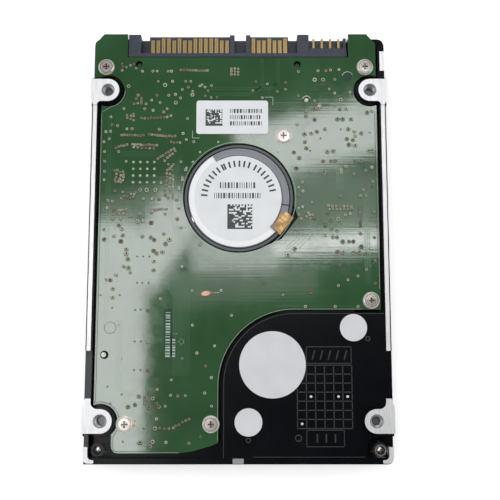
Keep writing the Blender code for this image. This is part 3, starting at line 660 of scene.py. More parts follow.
# Plated holes that stand alone, upper left, lower left, then right
LONE_VIAS = (
    (-20.4, 40.9), (-19.4, 40.9), (-16.8, 40.9), (-16.0, 40.9), (-22.9, 40.9), (-27.7, 41.1),
    (-19.1, 38.4), (-15.7, 38.4), (-12.6, 38.4), (-11.4, 38.4), (-12.0, 37.0), (-13.4, 36.4),
    (-15.0, 35.2), (-16.6, 35.0), (-13.8, 34.3), (-19.4, 35.0), (-20.6, 33.8), (-18.6, 33.2),
    (-21.9, 32.9), (-22.2, 31.7), (-20.2, 31.3), (-16.9, 31.7), (-17.7, 30.9), (-16.0, 30.0),
    (-23.8, 35.0), (-27.1, 31.7), (-30.1, 29.7), (-29.8, 27.8), (-28.5, 27.6), (-12.1, 29.3),
    (-26.3, 26.8), (-25.1, 26.8), (-18.7, 26.7), (-31.2, 26.1), (-30.1, 26.2), (-13.1, 25.7),
    (-12.3, 24.2), (-30.4, 24.4), (-10.6, 23.7), (-31.6, 23.7), (-28.1, 21.3), (-31.4, 21.3),
    (-13.5, 18.9), (-10.7, 18.8), (-31.3, 19.0), (-26.3, 19.0), (-31.3, 16.6), (-31.3, 14.6),
    (-12.4, 17.0), (-13.2, 15.2), (-13.1, 14.6), (-13.9, 12.4), (-14.4, 9.9), (-18.1, 13.9),
    (-28.8, 12.0), (-22.1, 10.1), (-20.1, 10.1), (-18.5, 10.1), (-30.4, 9.7), (-29.3, 9.5),
    (-30.5, 8.0), (-29.1, 5.4), (-27.2, 5.3), (-25.0, 6.0), (-22.9, 6.6), (-22.1, 4.9),
    (-20.1, 6.9), (-17.0, 6.6), (-13.9, 8.0), (-14.2, 5.4), (-13.3, 3.4), (-28.7, 1.4),
    (-17.2, 1.9), (-22.2, 1.3), (-8.9, -0.5), (-13.0, -5.7), (-26.3, -5.7), (-24.8, -7.1),
    (-28.0, -7.6), (-30.3, -8.7), (-20.6, -15.7), (-20.5, -22.8), (-20.4, -29.2), (-17.8, -13.1),
    (-10.6, -11.3), (-4.0, -11.2), (-1.6, -16.9), (-10.5, -19.1), (-9.4, -25.4), (-12.7, -26.6),
    (-7.4, -28.3), (-15.1, -31.4), (-18.2, -33.5), (-7.6, -34.3), (-13.6, -34.9), (-11.9, -34.9),
    (-15.2, -34.8), (-16.4, -37.2), (-18.3, -36.6), (-18.3, -40.0), (-16.1, -45.1), (-11.0, -45.3),
    (-8.4, -43.9), (-6.0, -37.2), (-6.1, -30.9), (-5.4, -23.8), (14.1, 40.8), (18.7, 41.0),
    (20.6, 41.0), (21.7, 41.2), (23.7, 41.3), (22.7, 38.9), (21.3, 36.5), (22.6, 35.5),
    (26.2, 35.7), (17.8, 33.6), (22.5, 32.5), (19.0, 32.7), (15.8, 31.0), (23.8, 31.6),
    (31.3, 31.2), (13.7, 28.0), (20.2, 26.8), (27.1, 26.2), (27.3, 25.2), (16.7, 16.6),
    (23.8, 17.0), (23.8, 16.3), (26.8, 16.0), (29.6, 16.8), (31.0, 17.6), (14.8, 14.0),
    (14.9, 11.9), (13.7, 10.9), (17.0, 9.3), (31.2, 14.2), (31.2, 13.1), (29.0, 12.2), (28.3, 10.8),
    (29.6, 10.8), (23.6, 10.7), (14.8, 8.2), (13.9, 6.4), (14.4, 5.4), (20.6, 6.7), (24.7, 6.3),
    (25.8, 6.6), (19.8, 4.6), (31.3, 7.0), (31.3, 1.1), (31.3, -4.3), (31.2, -9.6), (23.2, -5.3),
    (29.3, -6.4), (27.3, -7.9), (25.0, -8.8), (22.8, -10.1), (15.2, -14.9), (22.0, -14.9),
    (27.2, -14.9), (5.9, -9.5), (10.1, -12.3),
)

# Wide plated holes, whose bores show
WIDE_VIAS = (
    (-31.0, 3.0), (-27.6, 3.9), (-26.9, 3.1), (-30.9, 0.6), (-26.7, 1.6), (-27.1, 0.2),
    (-23.4, 4.8), (-20.2, 4.5), (-20.2, 1.1), (-19.4, 0.5), (-15.9, 0.6), (-16.8, -0.4),
    (-25.8, -1.7), (-25.8, -2.7), (-19.5, -2.0), (-18.8, -2.6), (-17.5, -2.3), (-29.3, -8.8),
    (-22.3, -35.0), (-19.2, -35.5), (-23.1, -36.8), (-24.7, -37.3), (-20.0, -37.4), (-17.8, -37.3),
    (-18.6, -42.1), (-21.9, -45.1), (-19.1, -45.0), (-19.6, -46.0), (24.0, 33.9), (17.7, 31.7),
    (18.7, 31.9), (15.8, 29.9), (17.8, 29.1), (25.3, 31.7), (30.2, 30.8), (23.2, 29.2),
    (24.4, 29.2), (26.4, 29.2), (18.3, 26.2), (25.7, 26.8), (15.4, 25.6), (26.7, 24.2),
    (25.3, 24.4), (25.8, 23.0), (15.5, 23.7), (15.8, 22.2), (20.7, 21.4), (22.1, 21.5),
    (12.9, 21.2), (14.1, 19.9), (13.4, 17.4), (19.7, 19.1), (21.6, 19.1), (22.5, 19.1),
    (27.1, 19.2), (28.4, 19.2), (30.4, 21.6), (31.3, 21.6), (25.0, 17.7), (19.9, 16.3), (21.4, 5.2),
    (23.0, 5.3), (20.0, 3.7), (21.5, 3.2), (22.7, 2.7), (21.7, 1.2), (22.7, 1.1), (24.0, 0.1),
    (25.4, 0.1), (26.4, 0.1), (28.1, 2.0), (22.8, -2.3), (24.0, -2.4), (26.4, -2.4), (27.7, -2.4),
    (29.3, -2.8), (28.2, -1.1), (12.9, -1.6), (16.4, -11.5),
)

# Unplated holes and open bores, which look black
BLACK_HOLES = (
    (-26.1, 37.2), (-17.5, 37.5), (-11.0, 35.1), (-14.9, 33.2), (17.9, 38.8), (19.9, 38.8),
    (17.0, 25.8), (28.7, 25.8), (27.2, 22.9), (11.3, -3.0), (19.9, 1.7), (-22.9, 12.2),
    (-21.4, 12.2), (-19.4, 12.2), (-25.4, -3.9), (-19.4, -4.4), (-19.4, -6.5), (-25.2, -6.0),
    (-28.7, -10.8), (-28.7, -12.8),
)

# Small dark test marks
DARK_DOTS = (
    (-23.3, -3.4), (-21.9, -3.4), (-20.5, -3.4), (-23.2, -9.5), (-22.0, -9.5), (-20.6, -9.5),
    (-23.5, -15.7), (-22.3, -15.6), (-23.5, -22.8), (-22.1, -22.8), (-23.5, -29.2), (-22.1, -29.2),
    (-27.1, -12.3), (-28.8, -15.2), (-31.5, -12.3), (-27.1, -19.1), (-26.4, -26.8), (-29.4, -32.9),
    (-26.2, -34.6), (-21.1, -42.1), (-25.7, -45.0), (-28.7, -36.6), (19.1, 24.5), (23.9, 26.7),
    (30.7, 25.9), (16.7, 21.5), (29.3, 17.6),
)

PAD_HEIGHT = 0.03
TRACK_HEIGHT = 0.012
INK_HEIGHT = 0.008
SHADE_HEIGHT = 0.006
# Where a thin piece on the board starts, a little inside it
ON_BOARD = BOARD_TOP - SINK
# The board's two long edges
BOARD_LEFT, BOARD_RIGHT = -32.4, 32.35
VIA_SPACING = 0.6


def under_label(x, y):
    return -10.6 < x < 7.4 and 25.0 < y < 34.2


def scattered(centre, half, count, chance):
    """Up to count random points in a box that keep their distance from each other."""
    found = []
    for _ in range(count * 30):
        point = (centre[0] + chance.uniform(-half[0], half[0]),
                 centre[1] + chance.uniform(-half[1], half[1]))
        if all(math.dist(point, other) > VIA_SPACING for other in found):
            found.append(point)
        if len(found) == count:
            break
    return found


def small_vias():
    chance = random.Random(11)
    points = []
    for first, last, count in VIA_ROWS:
        points += [(x, y + chance.uniform(-0.12, 0.12)) for x, y in spread(first, last, count)]
    for centre, half, count in VIA_GROUPS:
        points += scattered(centre, half, count, chance)
    return [point for point in points if not under_label(*point)]


def make_vias():
    """Each plated hole is a raised ring over a painted shadow to its lower left, around painted
    shade in its bore.
    """
    chance = random.Random(5)
    brown, pale, dark = Batch(), Batch(), Batch()
    shade, bore = BOARD_TOP + SHADE_HEIGHT, BOARD_TOP + 0.01
    # points, batches to draw from, radii of the bore, ring and painted shadow
    kinds = (
        (small_vias(), (brown, brown, brown, pale), (0.15, 0.28, 0.4)),
        (LONE_VIAS, (pale, pale, brown), (0.17, 0.32, 0.44)),
        (WIDE_VIAS, (pale, brown), (0.27, 0.42, 0.54)),
        (BLACK_HOLES, (pale,), (0.27, 0.46, 0.56)),
    )
    for points, batches, (inner, outer, shadow_radius) in kinds:
        count = 12 if inner < 0.2 else 16
        for x, y in points:
            grown = chance.uniform(0.9, 1.08)
            chance.choice(batches).ring((x, y), inner * grown, outer * grown, ON_BOARD,
                                        BOARD_TOP + PAD_HEIGHT, count)
            # A dark disc a little to the lower left of each ring: a painted shadow.
            dark.disc((x - 0.02, y - 0.08), shadow_radius * grown, ON_BOARD, shade, count)
            # A dark disc over the bore: painted shade down the hole.
            dark.disc((x, y), (inner + 0.03) * grown, ON_BOARD, bore, count)
    for point in DARK_DOTS:
        dark.disc(point, 0.2, ON_BOARD, shade, 10)
    brown.make("via_rings", pad_look("via_look", (0.24, 0.19, 0.12), (0.46, 0.43, 0.31), 0.4),
               "gold_plate")
    pale.make("test_pads", pad_look("test_pad_look", (0.32, 0.38, 0.25), (0.54, 0.58, 0.42), 0.4),
              "gold_plate")
    dark.make("via_shade_and_test_marks", ink_look("via_shade_look", (0.005, 0.012, 0.006)), "black_plastic")


def make_motor_dots():
    """Pads around the motor opening, and the small grid of test dots to its left."""
    dots = Batch()
    for angle in range(-170, 190, 20):
        if not -60 < angle < -20:
            dots.disc(polar(SPINDLE, 14.1, angle), 0.24, ON_BOARD, BOARD_TOP + PAD_HEIGHT)
    for row in range(4):
        for column in range(4):
            point = (-24.6 + 1.63 * column, 18.8 - 1.6 * row)
            dots.disc(point, 0.3, ON_BOARD, BOARD_TOP + PAD_HEIGHT)
    dots.make("test_dots", pad_look("dot_look", (0.3, 0.36, 0.26), (0.4, 0.46, 0.34), 0.45),
              "gold_plate")


# (path, count, pitch) of each bundle of tracks. A path's points are (x, y) and the direction in
# which the tracks are spaced there.
TRACK_RUNS = (
    ([(5.5, 44.0, 1, 0), (5.5, 37.2, 1, 0.4), (2.5, 35.2, 0.4, 1), (-9.0, 35.2, 0, 1)], 2, 0.5),
    ([(9.3, 44.0, 1, 0), (9.3, 38.2, 1, 0.4), (7.3, 36.6, 0.4, 1), (-9.0, 36.6, 0, 1)], 2, 0.5),
    ([(-27.4, 20.8, 0, 1), (-19.5, 20.8, 0, 1)], 3, 0.45),
    ([(-13.0, -30.5, 1, 0), (-13.0, -12.0, 1, 0.4), (-16.8, -6.5, 1, 0.4)], 8, 0.5),
    ([(11.6, -2.0, -0.6, 1), (17.5, 3.2, -0.6, 1)], 4, 0.6),
    ([(29.6, 12.0, 1, 0), (29.6, -10.0, 1, 0)], 3, 0.5),
    ([(-30.3, 30.0, 1, 0), (-30.3, -20.0, 1, 0)], 2, 0.6),
    ([(-27.0, -18.0, 1, 0), (-27.0, -33.0, 1, 0), (-24.0, -35.5, 0.6, 1)], 3, 0.5),
    ([(8.0, -14.8, 0, 1), (28.0, -14.8, 0, 1)], 1, 0.5),
    ([(23.5, 12.0, 1, 0), (23.5, 17.0, 1, 0), (21.6, 18.7, 0.6, 1)], 4, 0.5),
)
TRACK_WIDTH = 0.2


def bundle(path, count, pitch):
    """Parallel copies of a path, spaced evenly on both sides of it."""
    copies = []
    for i in range(count):
        shift = (i - (count - 1) / 2) * pitch
        copies.append([(x + shift * dx, y + shift * dy) for x, y, dx, dy in path])
    return copies


def make_tracks():
    """Masked copper tracks, just proud of the board."""
    tracks = Batch()
    paths = [copy for run in TRACK_RUNS for copy in bundle(*run)]
    paths += [arc(SPINDLE, 15.6 + 0.5 * i, 150 - 4 * i, 262 + 5 * i, 24) for i in range(3)]
    for path in paths:
        tracks.ribbon(path, TRACK_WIDTH, ON_BOARD, BOARD_TOP + TRACK_HEIGHT)
    tracks.make("board_tracks", track_look(), "green_board")


def print_bars(batch):
    """Bars of uneven height down the code box and its narrow neighbour."""
    chance = random.Random(3)
    high = BOARD_TOP + INK_HEIGHT + SHADE_HEIGHT
    y = -16.2
    while y > -26.0:
        bar = chance.choice((0.14, 0.25, 0.4))
        batch.box(-16.55, -15.5, y - bar, y, ON_BOARD, high)
        if y < -21.8:
            batch.box(-15.0, -14.3, y - bar, y, ON_BOARD, high)
        y -= bar + chance.choice((0.22, 0.3, 0.4))


def make_silk():
    """Printed marks: corner brackets, fine outlines and a bar code in place of the lettering."""
    silk, dark = Batch(), Batch()
    low, high = ON_BOARD, BOARD_TOP + INK_HEIGHT
    for line in (((-10.9, 24.6), (-10.9, 26.4)), ((-10.9, 24.6), (-9.2, 24.6)),
                 ((8.0, 32.6), (8.0, 34.5)), ((8.0, 34.5), (6.1, 34.5))):
        silk.ribbon(line, 0.13, low, high)
    silk.ring(SPINDLE, 13.2, 13.3, low, high, 72)
    silk.ring((2.0, 24.8), 0.45, 0.6, low, high, 4)
    for corners in ((-16.95, -15.1, -24.2, -15.5), (-15.25, -14.0, -25.9, -21.4),
                    (-16.6, -14.1, -26.9, -24.3)):
        dark.box(*corners, low, high)
    print_bars(silk)
    silk.ribbon([(-14.75, -15.5), (-14.75, -21.1), (-13.8, -21.1), (-13.8, -26.6)], 0.1, low, high)
    silk.ring((-12.9, -22.8), 0.62, 0.72, low, high, 4)
    dark.disc((25.7, 39.5), 1.15, low, high, 28)
    dark.ring((-29.1, -19.7), 1.27, 1.37, low, high, 32)
    silk.make("silk_print", ink_look("silk_look", (0.3, 0.42, 0.33)), "green_board")
    dark.make("dark_print", ink_look("dark_print_look", (0.002, 0.028, 0.018)), "green_board")


def make_board_tin():
    """Pins in the board's plain holes, painted highlight arcs over two round spots, and the rings
    around its screws.
    """
    tin = Batch()
    for at, radius in (((-30.55, -25.8), 0.62), ((15.91, 33.85), 0.5)):
        profile = ((radius, -2.0), (radius, -0.16), (radius - 0.12, -0.06))
        tin.lathe([(wide, BOARD_TOP + rise) for wide, rise in profile], at)
    for screw in BOARD_SCREWS:
        tin.ring(screw, 1.76, 1.94, ON_BOARD, BOARD_TOP + PAD_HEIGHT, 36)
    # Pale arcs along the upper edges of two round spots: painted highlights.
    for at, radius in (((15.91, 33.85), 0.95), ((25.7, 39.5), 1.27)):
        tin.ribbon(arc(at, radius, 20, 165, 14), 0.12, ON_BOARD, BOARD_TOP + 0.015)
    tin.make("board_tin_and_highlights", pad_look("tin_and_highlight_look", (0.6, 0.62, 0.52), (0.44, 0.48, 0.38), 0.35),
             "nickel_plate")


def make_bare_copper():
    """A bare oval with its tail, and three bare dots."""
    copper = Batch()
    oval = [(-7.5 + 1.05 * math.cos(a), -11.9 + 0.55 * math.sin(a) + 0.12 * math.cos(a))
            for a in [math.radians(15 * i) for i in range(24)]]
    copper.prism(oval, ON_BOARD, BOARD_TOP + 0.01)
    copper.ribbon([(-6.5, -11.8), (-4.4, -11.7)], 0.1, ON_BOARD, BOARD_TOP + INK_HEIGHT)
    for at in ((-23.3, -41.5), (-23.1, -40.4), (18.9, 32.3)):
        copper.disc(at, 0.34, ON_BOARD, BOARD_TOP + 0.04, 14)
    copper.make("bare_copper", pad_look("bare_copper_look", (0.6, 0.3, 0.2), (0.66, 0.4, 0.3), 0.4),
                "copper_wire")


def make_hole_posts():
    """Dark posts down in the two plain holes beside the connector."""
    posts = Batch()
    for at in ((-23.75, 42.7), (13.8, 42.7)):
        profile = ((0.5, -2.0), (0.5, -0.9), (0.3, -0.8))
        posts.lathe([(wide, BOARD_TOP + rise) for wide, rise in profile], at, 20)
    posts.make("hole_posts", plastic_look("post_look", (0.07, 0.065, 0.06), 0.5), "black_plastic")


def make_board_edge_lines():
    """Two lines just inside the board's edge: a dark one, and a light one that is a painted
    highlight.
    """
    dark, light = Batch(), Batch()
    # The light line, inset 0.14, is a painted highlight of the board's edge.
    for batch, inset in ((dark, 0.42), (light, 0.14)):
        left, right = BOARD_LEFT + inset, BOARD_RIGHT - inset
        upper = arc(LUGS[0], 3.85 + inset, 270, 360, 10)
        lower = arc(LUGS[2], 3.85 + inset, 118, -30, 16)
        corner = [(-28.35 + inset, -44.0), (-28.35 + inset, -46.3), (-27.6, -47.5 + inset),
                  (-13.3, -47.5 + inset)]
        curve = arc((12.6, -32.7), 17.1 + inset, 180, 92, 16)
        for path in ([(left, 30.6), (left, -36.0)] + lower[1:] + corner,
                     [(left, 30.8)] + upper[1:],
                     [(-4.5 - inset, -44.8)] + curve + [(28.0, -15.6 + inset)],
                     [(right, -10.8), (right, 31.0)]):
            batch.ribbon(path, 0.11, ON_BOARD, BOARD_TOP + SHADE_HEIGHT)
    dark.make("edge_line_dark", ink_look("edge_dark_look", (0.004, 0.02, 0.008)), "green_board")
    light.make("edge_line_highlight", ink_look("edge_highlight_look", (0.2, 0.3, 0.2)), "green_board")


# The blades of each connector from left to right: l is a long one and s a short one
BLADES = (("power_contacts", "ssllslsslllllss"), ("signal_contacts", "lsslssl"))
BLADE_TIPS = {"l": 49.6, "s": 49.1}
BLADE_HALF = 0.42


def make_contact_details():
    """The formed heel of every blade, paler as a painted highlight, and a dark line, the painted
    shade of its crease.
    """
    creases, heels = Batch(), Batch()
    for node, kinds in BLADES:
        low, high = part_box(node)
        first = low.x / MM + BLADE_HALF
        pitch = ((high.x - low.x) / MM - 2 * BLADE_HALF) / (len(kinds) - 1)
        top = high.z / MM
        wedge = [(45.2, top), (45.3, top + 0.22), (45.95, top + 0.03), (46.0, top)]
        for i, kind in enumerate(kinds):
            x = first + pitch * i
            # A dark line down the blade: the painted shade of its crease.
            creases.box(x - 0.045, x + 0.045, 46.1, BLADE_TIPS[kind], top - SINK, top + 0.006)
            heels.rings([[(x + side, y, z) for y, z in wedge] for side in (0.36, -0.36)])
    creases.make("contact_creases", ink_look("crease_shade_look", (0.2, 0.11, 0.035)), "gold_plate")
    # The heels are paler than the blades' gold: a painted highlight.
    heels.make("contact_heels", pad_look("heel_highlight_look", (0.9, 0.84, 0.66), (0.84, 0.74, 0.5), 0.3),
               "gold_plate")


def make_board_details():
    make_vias()
    make_board_tin()
    make_bare_copper()
    make_hole_posts()
    make_board_edge_lines()
    make_contact_details()
    make_motor_dots()
    make_tracks()
    make_silk()


# ---- Labels ---------------------------------------------------------------------------------


def cell_on(row, column, count, chance):
    """Two solid sides, two dotted ones, and random cells inside."""
    if row == 0 or column == 0:
        return True
    if row == count - 1 or column == count - 1:
        return (row + column) % 2 == 0
    return chance.random() < 0.5


def matrix(batch, left, low, side, count, top, chance):
    """A square of random cells, like a data matrix that says nothing."""
    cell = side / count
    for row in range(count):
        column = 0
        while column < count:
            run = 0
            while column + run < count and cell_on(row, column + run, count, chance):
                run += 1
            if run:
                batch.box(left + column * cell, left + (column + run) * cell, low + row * cell,
                          low + (row + 1) * cell, top - SINK, top + SINK)
            column += max(run, 1)


def tick_row(batch, left, right, low, high, top, chance, gap=0.28):
    """A line of upright ticks of uneven width, standing for a line of print."""
    x = left
    while x < right - 0.3:
        width = chance.choice((0.14, 0.14, 0.3, 0.45))
        batch.box(x, min(x + width, right), low, high, top - SINK, top + SINK)
        x += width + gap


def print_bow(batch, top):
    """Ticks along a bow, in groups that stand for words."""
    for start, count in ((176, 8), (114, 4), (81, 2), (62, 7)):
        for i in range(count):
            at = start - 8.3 * i
            inner = arc(SPINDLE, 7.3, at - 1.6, at + 1.6, 2)
            outer = arc(SPINDLE, 8.8, at + 1.4, at - 1.4, 2)
            batch.prism((inner + outer)[::-1], top - SINK, top + SINK)


def make_label_print():
    chance = random.Random(29)
    ink = Batch()
    matrix(ink, -7.85, 27.5, 4.0, 14, LABEL_TOP, chance)
    for low in (31.1, 29.6, 28.1):
        tick_row(ink, -2.1, 5.6, low - 0.5, low + 0.5, LABEL_TOP, chance)
    matrix(ink, -2.64, 3.0, 5.8, 16, SPINDLE_LABEL_TOP, chance)
    tick_row(ink, -4.4, 4.3, 12.6, 14.0, SPINDLE_LABEL_TOP, chance, 0.36)
    tick_row(ink, -5.7, 5.6, 10.2, 11.5, SPINDLE_LABEL_TOP, chance, 0.3)
    print_bow(ink, SPINDLE_LABEL_TOP)
    ink.make("label_print", ink_look("label_ink_look", (0.045, 0.047, 0.05)), "label_stock")


def make_label_rim():
    """The brighter outer band of the motor's label, and a dark line beside the label's edge, a
    painted shadow.
    """
    rim, gap = Batch(), Batch()
    outer = arc(SPINDLE, 11.5, 124, 314, 48)
    inner = arc(SPINDLE, 10.3, 314, 124, 48)
    rim.prism(outer + inner, SPINDLE_LABEL_TOP - SINK, SPINDLE_LABEL_TOP + 0.012)
    # Dark ribbons just below the label's top, along its edge: a painted shadow of the label.
    for path, width in ((arc(SPINDLE, 10.02, -36, 117, 40), 0.16),
                        ([polar(SPINDLE, radius, 122.6) for radius in (10.0, 11.5)], 0.2),
                        ([polar(SPINDLE, radius, -9) for radius in (10.0, 11.75)], 0.22)):
        gap.ribbon(path, width, SPINDLE_LABEL_TOP - 0.13, SPINDLE_LABEL_TOP - 0.04)
    gap.make("label_shadow_line", ink_look("shadow_line_look", (0.006, 0.006, 0.008)),
             "black_plastic")
    rim.make("label_rim", paper_look("label_rim_look", (0.88, 0.88, 0.89), (0.84, 0.845, 0.85)),
             "label_stock")


def make_flex_pads():
    """Four gilded pads across the motor's flexible tail."""
    pads = Batch()
    along = Vector((12.7 - 9.5, 5.6 - 1.6)).normalized()
    across = Vector((-along.y, along.x)) * 2.1
    start = Vector((9.75, 2.35))
    low = height("motor_flex", 1)
    for i in range(4):
        first = start + along * (0.28 + 1.1 * i)
        last = first + along * 0.82
        outline = [tuple(point) for point in (first, last, last + across, first + across)]
        pads.prism(outline, low - SINK, low + 0.05)
    look = pad_look("flex_pad_look", (0.26, 0.15, 0.05), (0.56, 0.4, 0.18), 0.3)
    pads.make("motor_flex_pads", look, "gold_plate")


def make_labels():
    make_label_print()
    make_label_rim()
    make_flex_pads()


# ---- Casting details ------------------------------------------------------------------------

RELIEF_LOW, RELIEF_HIGH = WALL_TOP - 0.02, WALL_TOP + 0.05
GRID = (13.2, 25.5, -42.1, -28.1)
GRID_COLUMNS, GRID_ROWS = 6, 7
GRID_LINE_HALF = 0.12


def grid_point(column, row):
    left, right, bottom, top = GRID
    return (left + (right - left) * column / GRID_COLUMNS, bottom + (top - bottom) * row / GRID_ROWS)


def relief_grid(lines):
    """The lines of the date grid."""
    left, right, bottom, top = GRID
    for i in range(GRID_COLUMNS + 1):
        x, _ = grid_point(i, 0)
        lines.box(x - GRID_LINE_HALF, x + GRID_LINE_HALF, bottom, top, RELIEF_LOW, RELIEF_HIGH)
    for i in range(GRID_ROWS + 1):
        _, y = grid_point(0, i)
        lines.box(left - GRID_LINE_HALF, right + GRID_LINE_HALF, y - GRID_LINE_HALF,
                  y + GRID_LINE_HALF, RELIEF_LOW, RELIEF_HIGH)


def make_relief():
    """Raised lines on the black area: a date grid, two plain boxes and a painted edge highlight."""
    lines = Batch()
    relief_grid(lines)
    paths = []
    for left, right, near, far in ((15.3, 25.4, -27.7, -24.0), (15.24, 23.6, -46.06, -42.46)):
        paths += [([(left, y), (right, y)], 0.2) for y in (near, far)]
        paths += [([(x, near), (x, far)], 0.2) for x in (left, right)]
    paths += [([(x, -45.2), (x, -43.3)], 0.35) for x in (17.6, 19.6, 21.6)]
    paths += [([(x, -26.9), (x + 0.6, -24.8)], 0.3) for x in (16.6, 18.4, 20.2, 22.0, 23.8)]
    # A line just inside the raised area's edge: a painted highlight of that edge.
    edge_highlight_path = [(-3.3, -48.6)] + arc((12.6, -32.4), 15.9, 180, 90, 24) + [(33.0, -16.5)]
    paths += [(edge_highlight_path, 0.16), ([(3.2, -48.3), (28.2, -48.3)], 0.14)]
    for path, width in paths:
        lines.ribbon(path, width, RELIEF_LOW, RELIEF_HIGH)
    for at, inner in (((13.4, -44.2), 0.55), ((29.23, -22.18), 0.35), ((2.24, -44.66), 0.35)):
        lines.ring(at, inner, inner + 0.25, RELIEF_LOW, RELIEF_HIGH, 20)
    # The lines are lighter than the black paint: a painted highlight on the raised lines.
    lines.make("casting_relief", plastic_look("relief_highlight_look", (0.015, 0.016, 0.0155), 0.5),
               "black_casting")


def make_grid_marks():
    """Pale dots in four cells of the date grid."""
    dots = Batch()
    profile = [(0.3, RELIEF_LOW), (0.3, RELIEF_HIGH), (0.14, RELIEF_HIGH + 0.08)]
    for column, row in ((1, 3), (4, 3), (5, 3), (0, 0)):
        dots.lathe(profile, grid_point(column + 0.5, row + 0.5), 12)
    dots.make("grid_marks", pad_look("grid_mark_look", (0.6, 0.6, 0.6), (0.7, 0.7, 0.7), 0.4),
              "black_casting")


def make_threads():
    """Thread ridges inside the lug holes and the side holes."""
    ridges = Batch()
    ridge = ((1.28, -0.12), (1.28, 0.12), (1.08, 0))
    for lug in LUGS:
        for i in range(5):
            z = 7.1 + 0.4 * i
            ridges.lathe([(radius, z + shift) for radius, shift in ridge], lug, closed=True)
        side = 1 if lug[0] > 0 else -1
        for i in range(4):
            x = side * (34.3 - 0.4 * i)
            loops = []
            for radius, shift in ridge:
                hole = circle((lug[1], SIDE_HOLE_HEIGHT), radius, 20)[::side]
                loops.append([(x + side * shift, y, z) for y, z in hole])
            ridges.rings(loops, closed=True)
    ridges.make("lug_threads", pad_look("thread_look", (0.5, 0.5, 0.5), (0.36, 0.36, 0.37), 0.35),
                "machined_aluminium")


def make_corner_bosses():
    """Screw bosses in the two corner recesses, and the screw tips that stand in them."""
    boss, tip = Batch(), Batch()
    for side, at in ((-1, COVER_SCREWS[0]), (1, COVER_SCREWS[1])):
        boss.ring(at, 0.95, 1.5, 5.4, 6.5, 28)
        boss.ring(at, 1.5, 1.72, 5.4, 5.9, 28)
        for angle in (100, 190, 280):
            outwards = angle if side > 0 else 180 - angle
            rib = [polar(at, radius, outwards) for radius in (1.4, 2.2)]
            boss.ribbon(rib, 0.3, 5.4, 6.1)
        tip.lathe([(0.78, 5.8), (0.78, 6.2), (0.5, 6.36)], at)
    tip.ring(COVER_SCREWS[1], 0.98, 1.3, 6.45, 6.56, 28)
    boss.make("corner_bosses", plastic_look("boss_look", (0.03, 0.031, 0.033), 0.4),
              "black_casting")
    tip.make("corner_screw_tips", nickel_look(), "steel")


def make_end_plate():
    """The small plate with three ribs at the plain end."""
    plate = Batch()
    plate.box(-1.25, 1.2, -49.75, -48.65, WALL_TOP - 0.3, WALL_TOP + 0.08)
    for i in range(3):
        plate.box(-0.95 + 0.7 * i, -0.45 + 0.7 * i, -49.4, -49.0, WALL_TOP, WALL_TOP + 0.12)
    look = brushed_look("end_plate_look", (0.6, 0.6, 0.6), (0.4, 0.4, 0.42), 0.35)
    plate.make("end_plate", look, "steel")


def make_corner_bar():
    """The bare machined pad in the notch beside the connector."""
    bar = Batch()
    left, right, low, high, bevel = 33.0, 34.3, 40.9, 45.7, 0.3
    outline = [(left, low), (right - bevel, low), (right, low + bevel),
               (right, high - bevel), (right - bevel, high), (left, high)]
    bar.prism(outline, 1.8, 8.4)
    look = brushed_look("corner_bar_look", (0.86, 0.86, 0.86), (0.7, 0.7, 0.71), 0.4)
    bar.make("corner_bar", look, "machined_aluminium")


def make_casting_details():
    make_corner_bar()
    make_relief()
    make_grid_marks()
    make_corner_bosses()
    make_end_plate()
    make_threads()


# ---- Camera, floor and light ------------------------------------------------------------------

CAMERA_AT = (2.6, -27.4, 192.6)
CAMERA_TILT = 7.9
LENS = 58.1
FLOOR_HALF = 3000.0
FLOOR_LOW, FLOOR_TOP = -20.0, -0.05
# The floor's own glow near the drive and far away, and the distances where it changes
GLOW_NEAR, GLOW_FAR = 0.42, 1.0
GLOW_START, GLOW_END = 500, 2400
LIGHT_HEIGHT = 400.0
# The camera sees a place on the board mirror the place overhead that is this much larger, shifted
BOX_SCALE = 3.178
BOX_SHIFT = (-5.66, 59.7)
# name, middle and size over the board before that change, turn, radiance
OVERHEAD_BOXES = (
    ("box_left_low", (-29.5, -29.5), (17.0, 45.5), 0, 5.4),
    ("box_left_high", (-30.5, -0.8), (14.0, 11.6), 0, 5.4),
    ("box_left_turned", (-17.9, 0.6), (11.0, 21.5), -32, 5.4),
    ("box_middle_right", (21.0, -0.3), (26.0, 4.2), 4, 8.4),
    ("box_middle_left", (-1.0, -2.7), (20.0, 8.0), 0, 4.0),
    ("box_middle_low", (2.0, -9.6), (32.0, 7.5), 6, 0.8),
    ("box_corner", (17.8, 24.3), (36.5, 13.4), 13, 5.4),
    ("box_right", (24.0, 9.5), (26.0, 14.0), 0, 1.1),
    ("box_left_rim", (-23.0, 9.5), (22.0, 6.0), 20, 1.0),
)
# name, bearing in degrees from +X
SIDE_BOXES = (("soft_left", 180), ("soft_right", 0), ("soft_back", 90))
SIDE_DISTANCE, SIDE_HEIGHT = 660, 470
SIDE_SIZE = (600, 600)
SIDE_WATTS = 1.85


def make_camera():
    data = bpy.data.cameras.new("camera")
    data.lens = LENS
    data.clip_start = 0.01
    data.clip_end = 20
    camera = bpy.data.objects.new("camera", data)
    camera.location = Vector(CAMERA_AT) * MM
    camera.rotation_euler = (math.radians(CAMERA_TILT), 0, 0)
    bpy.context.scene.collection.objects.link(camera)
    bpy.context.scene.camera = camera


def make_floor():
    look = Look("floor_look", Roughness=0.9, Specular_IOR_Level=0.1)
    look.colour(look.blend(look.noise(0.01, 3), (0.92, 0.92, 0.92), (0.94, 0.94, 0.94)))
    look.shader.inputs["Emission Color"].default_value = (1, 1, 1, 1)
    glow = look.span(look.radius((0, 0)), GLOW_START, GLOW_END, GLOW_NEAR, GLOW_FAR)
    look.feed(look.shader.inputs["Emission Strength"], glow)
    floor = Batch()
    floor.box(-FLOOR_HALF, FLOOR_HALF, -FLOOR_HALF, FLOOR_HALF, FLOOR_LOW, FLOOR_TOP)
    floor.build("floor", look.material)


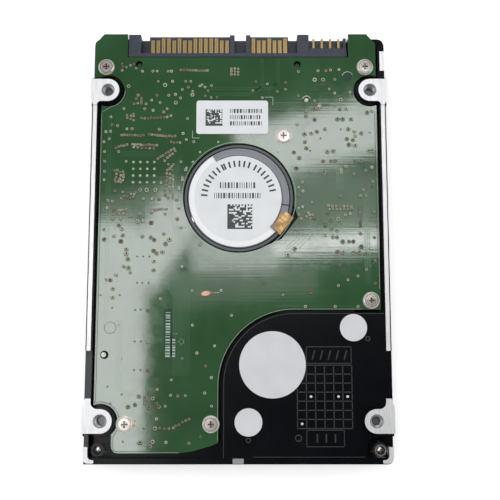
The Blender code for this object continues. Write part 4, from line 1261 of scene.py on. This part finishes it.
def area_light(name, at, size, watts, rotation):
    data = bpy.data.lights.new(name, "AREA")
    data.shape = "RECTANGLE"
    data.size, data.size_y = size[0] * MM, size[1] * MM
    data.energy = watts
    light = bpy.data.objects.new(name, data)
    light.location = Vector(at) * MM
    light.rotation_euler = rotation
    light.visible_camera = False
    bpy.context.scene.collection.objects.link(light)


def make_lights():
    """Plain soft boxes: flat ones overhead, which the glossy board mirrors, and three around."""
    for name, middle_over, size, turn, radiance in OVERHEAD_BOXES:
        x, y = [BOX_SCALE * at + shift for at, shift in zip(middle_over, BOX_SHIFT)]
        width, length = BOX_SCALE * size[0], BOX_SCALE * size[1]
        watts = radiance * math.pi * width * length * MM * MM
        place = (x, y, LIGHT_HEIGHT + BOARD_TOP)
        area_light(name, place, (width, length), watts, (0, 0, math.radians(turn)))
    for name, bearing in SIDE_BOXES:
        place = Vector((*polar((0, 0), SIDE_DISTANCE, bearing), SIDE_HEIGHT))
        towards_drive = (-place).to_track_quat("-Z", "Y").to_euler()
        area_light(name, place, SIDE_SIZE, SIDE_WATTS, towards_drive)


def make_world():
    """Grey overhead, so that dark gloss stays dark, and white towards the horizon."""
    world = bpy.data.worlds.new("studio")
    world.use_nodes = True
    nodes, links = world.node_tree.nodes, world.node_tree.links
    place = nodes.new("ShaderNodeTexCoord")
    split = nodes.new("ShaderNodeSeparateXYZ")
    ramp = nodes.new("ShaderNodeValToRGB")
    stops = ((0.15, (1.1, 1.1, 1.1, 1)), (0.8, (0.1, 0.105, 0.11, 1)))
    for element, (position, colour) in zip(ramp.color_ramp.elements, stops):
        element.position = position
        element.color = colour
    links.new(place.outputs["Generated"], split.inputs[0])
    links.new(split.outputs["Z"], ramp.inputs["Fac"])
    links.new(ramp.outputs["Color"], nodes["Background"].inputs["Color"])
    bpy.context.scene.world = world


def main():
    make_camera()
    make_floor()
    make_lights()
    make_world()
    dress_nodes()
    make_board_details()
    make_labels()
    make_casting_details()
    bpy.context.scene.view_settings.view_transform = "Standard"


main()
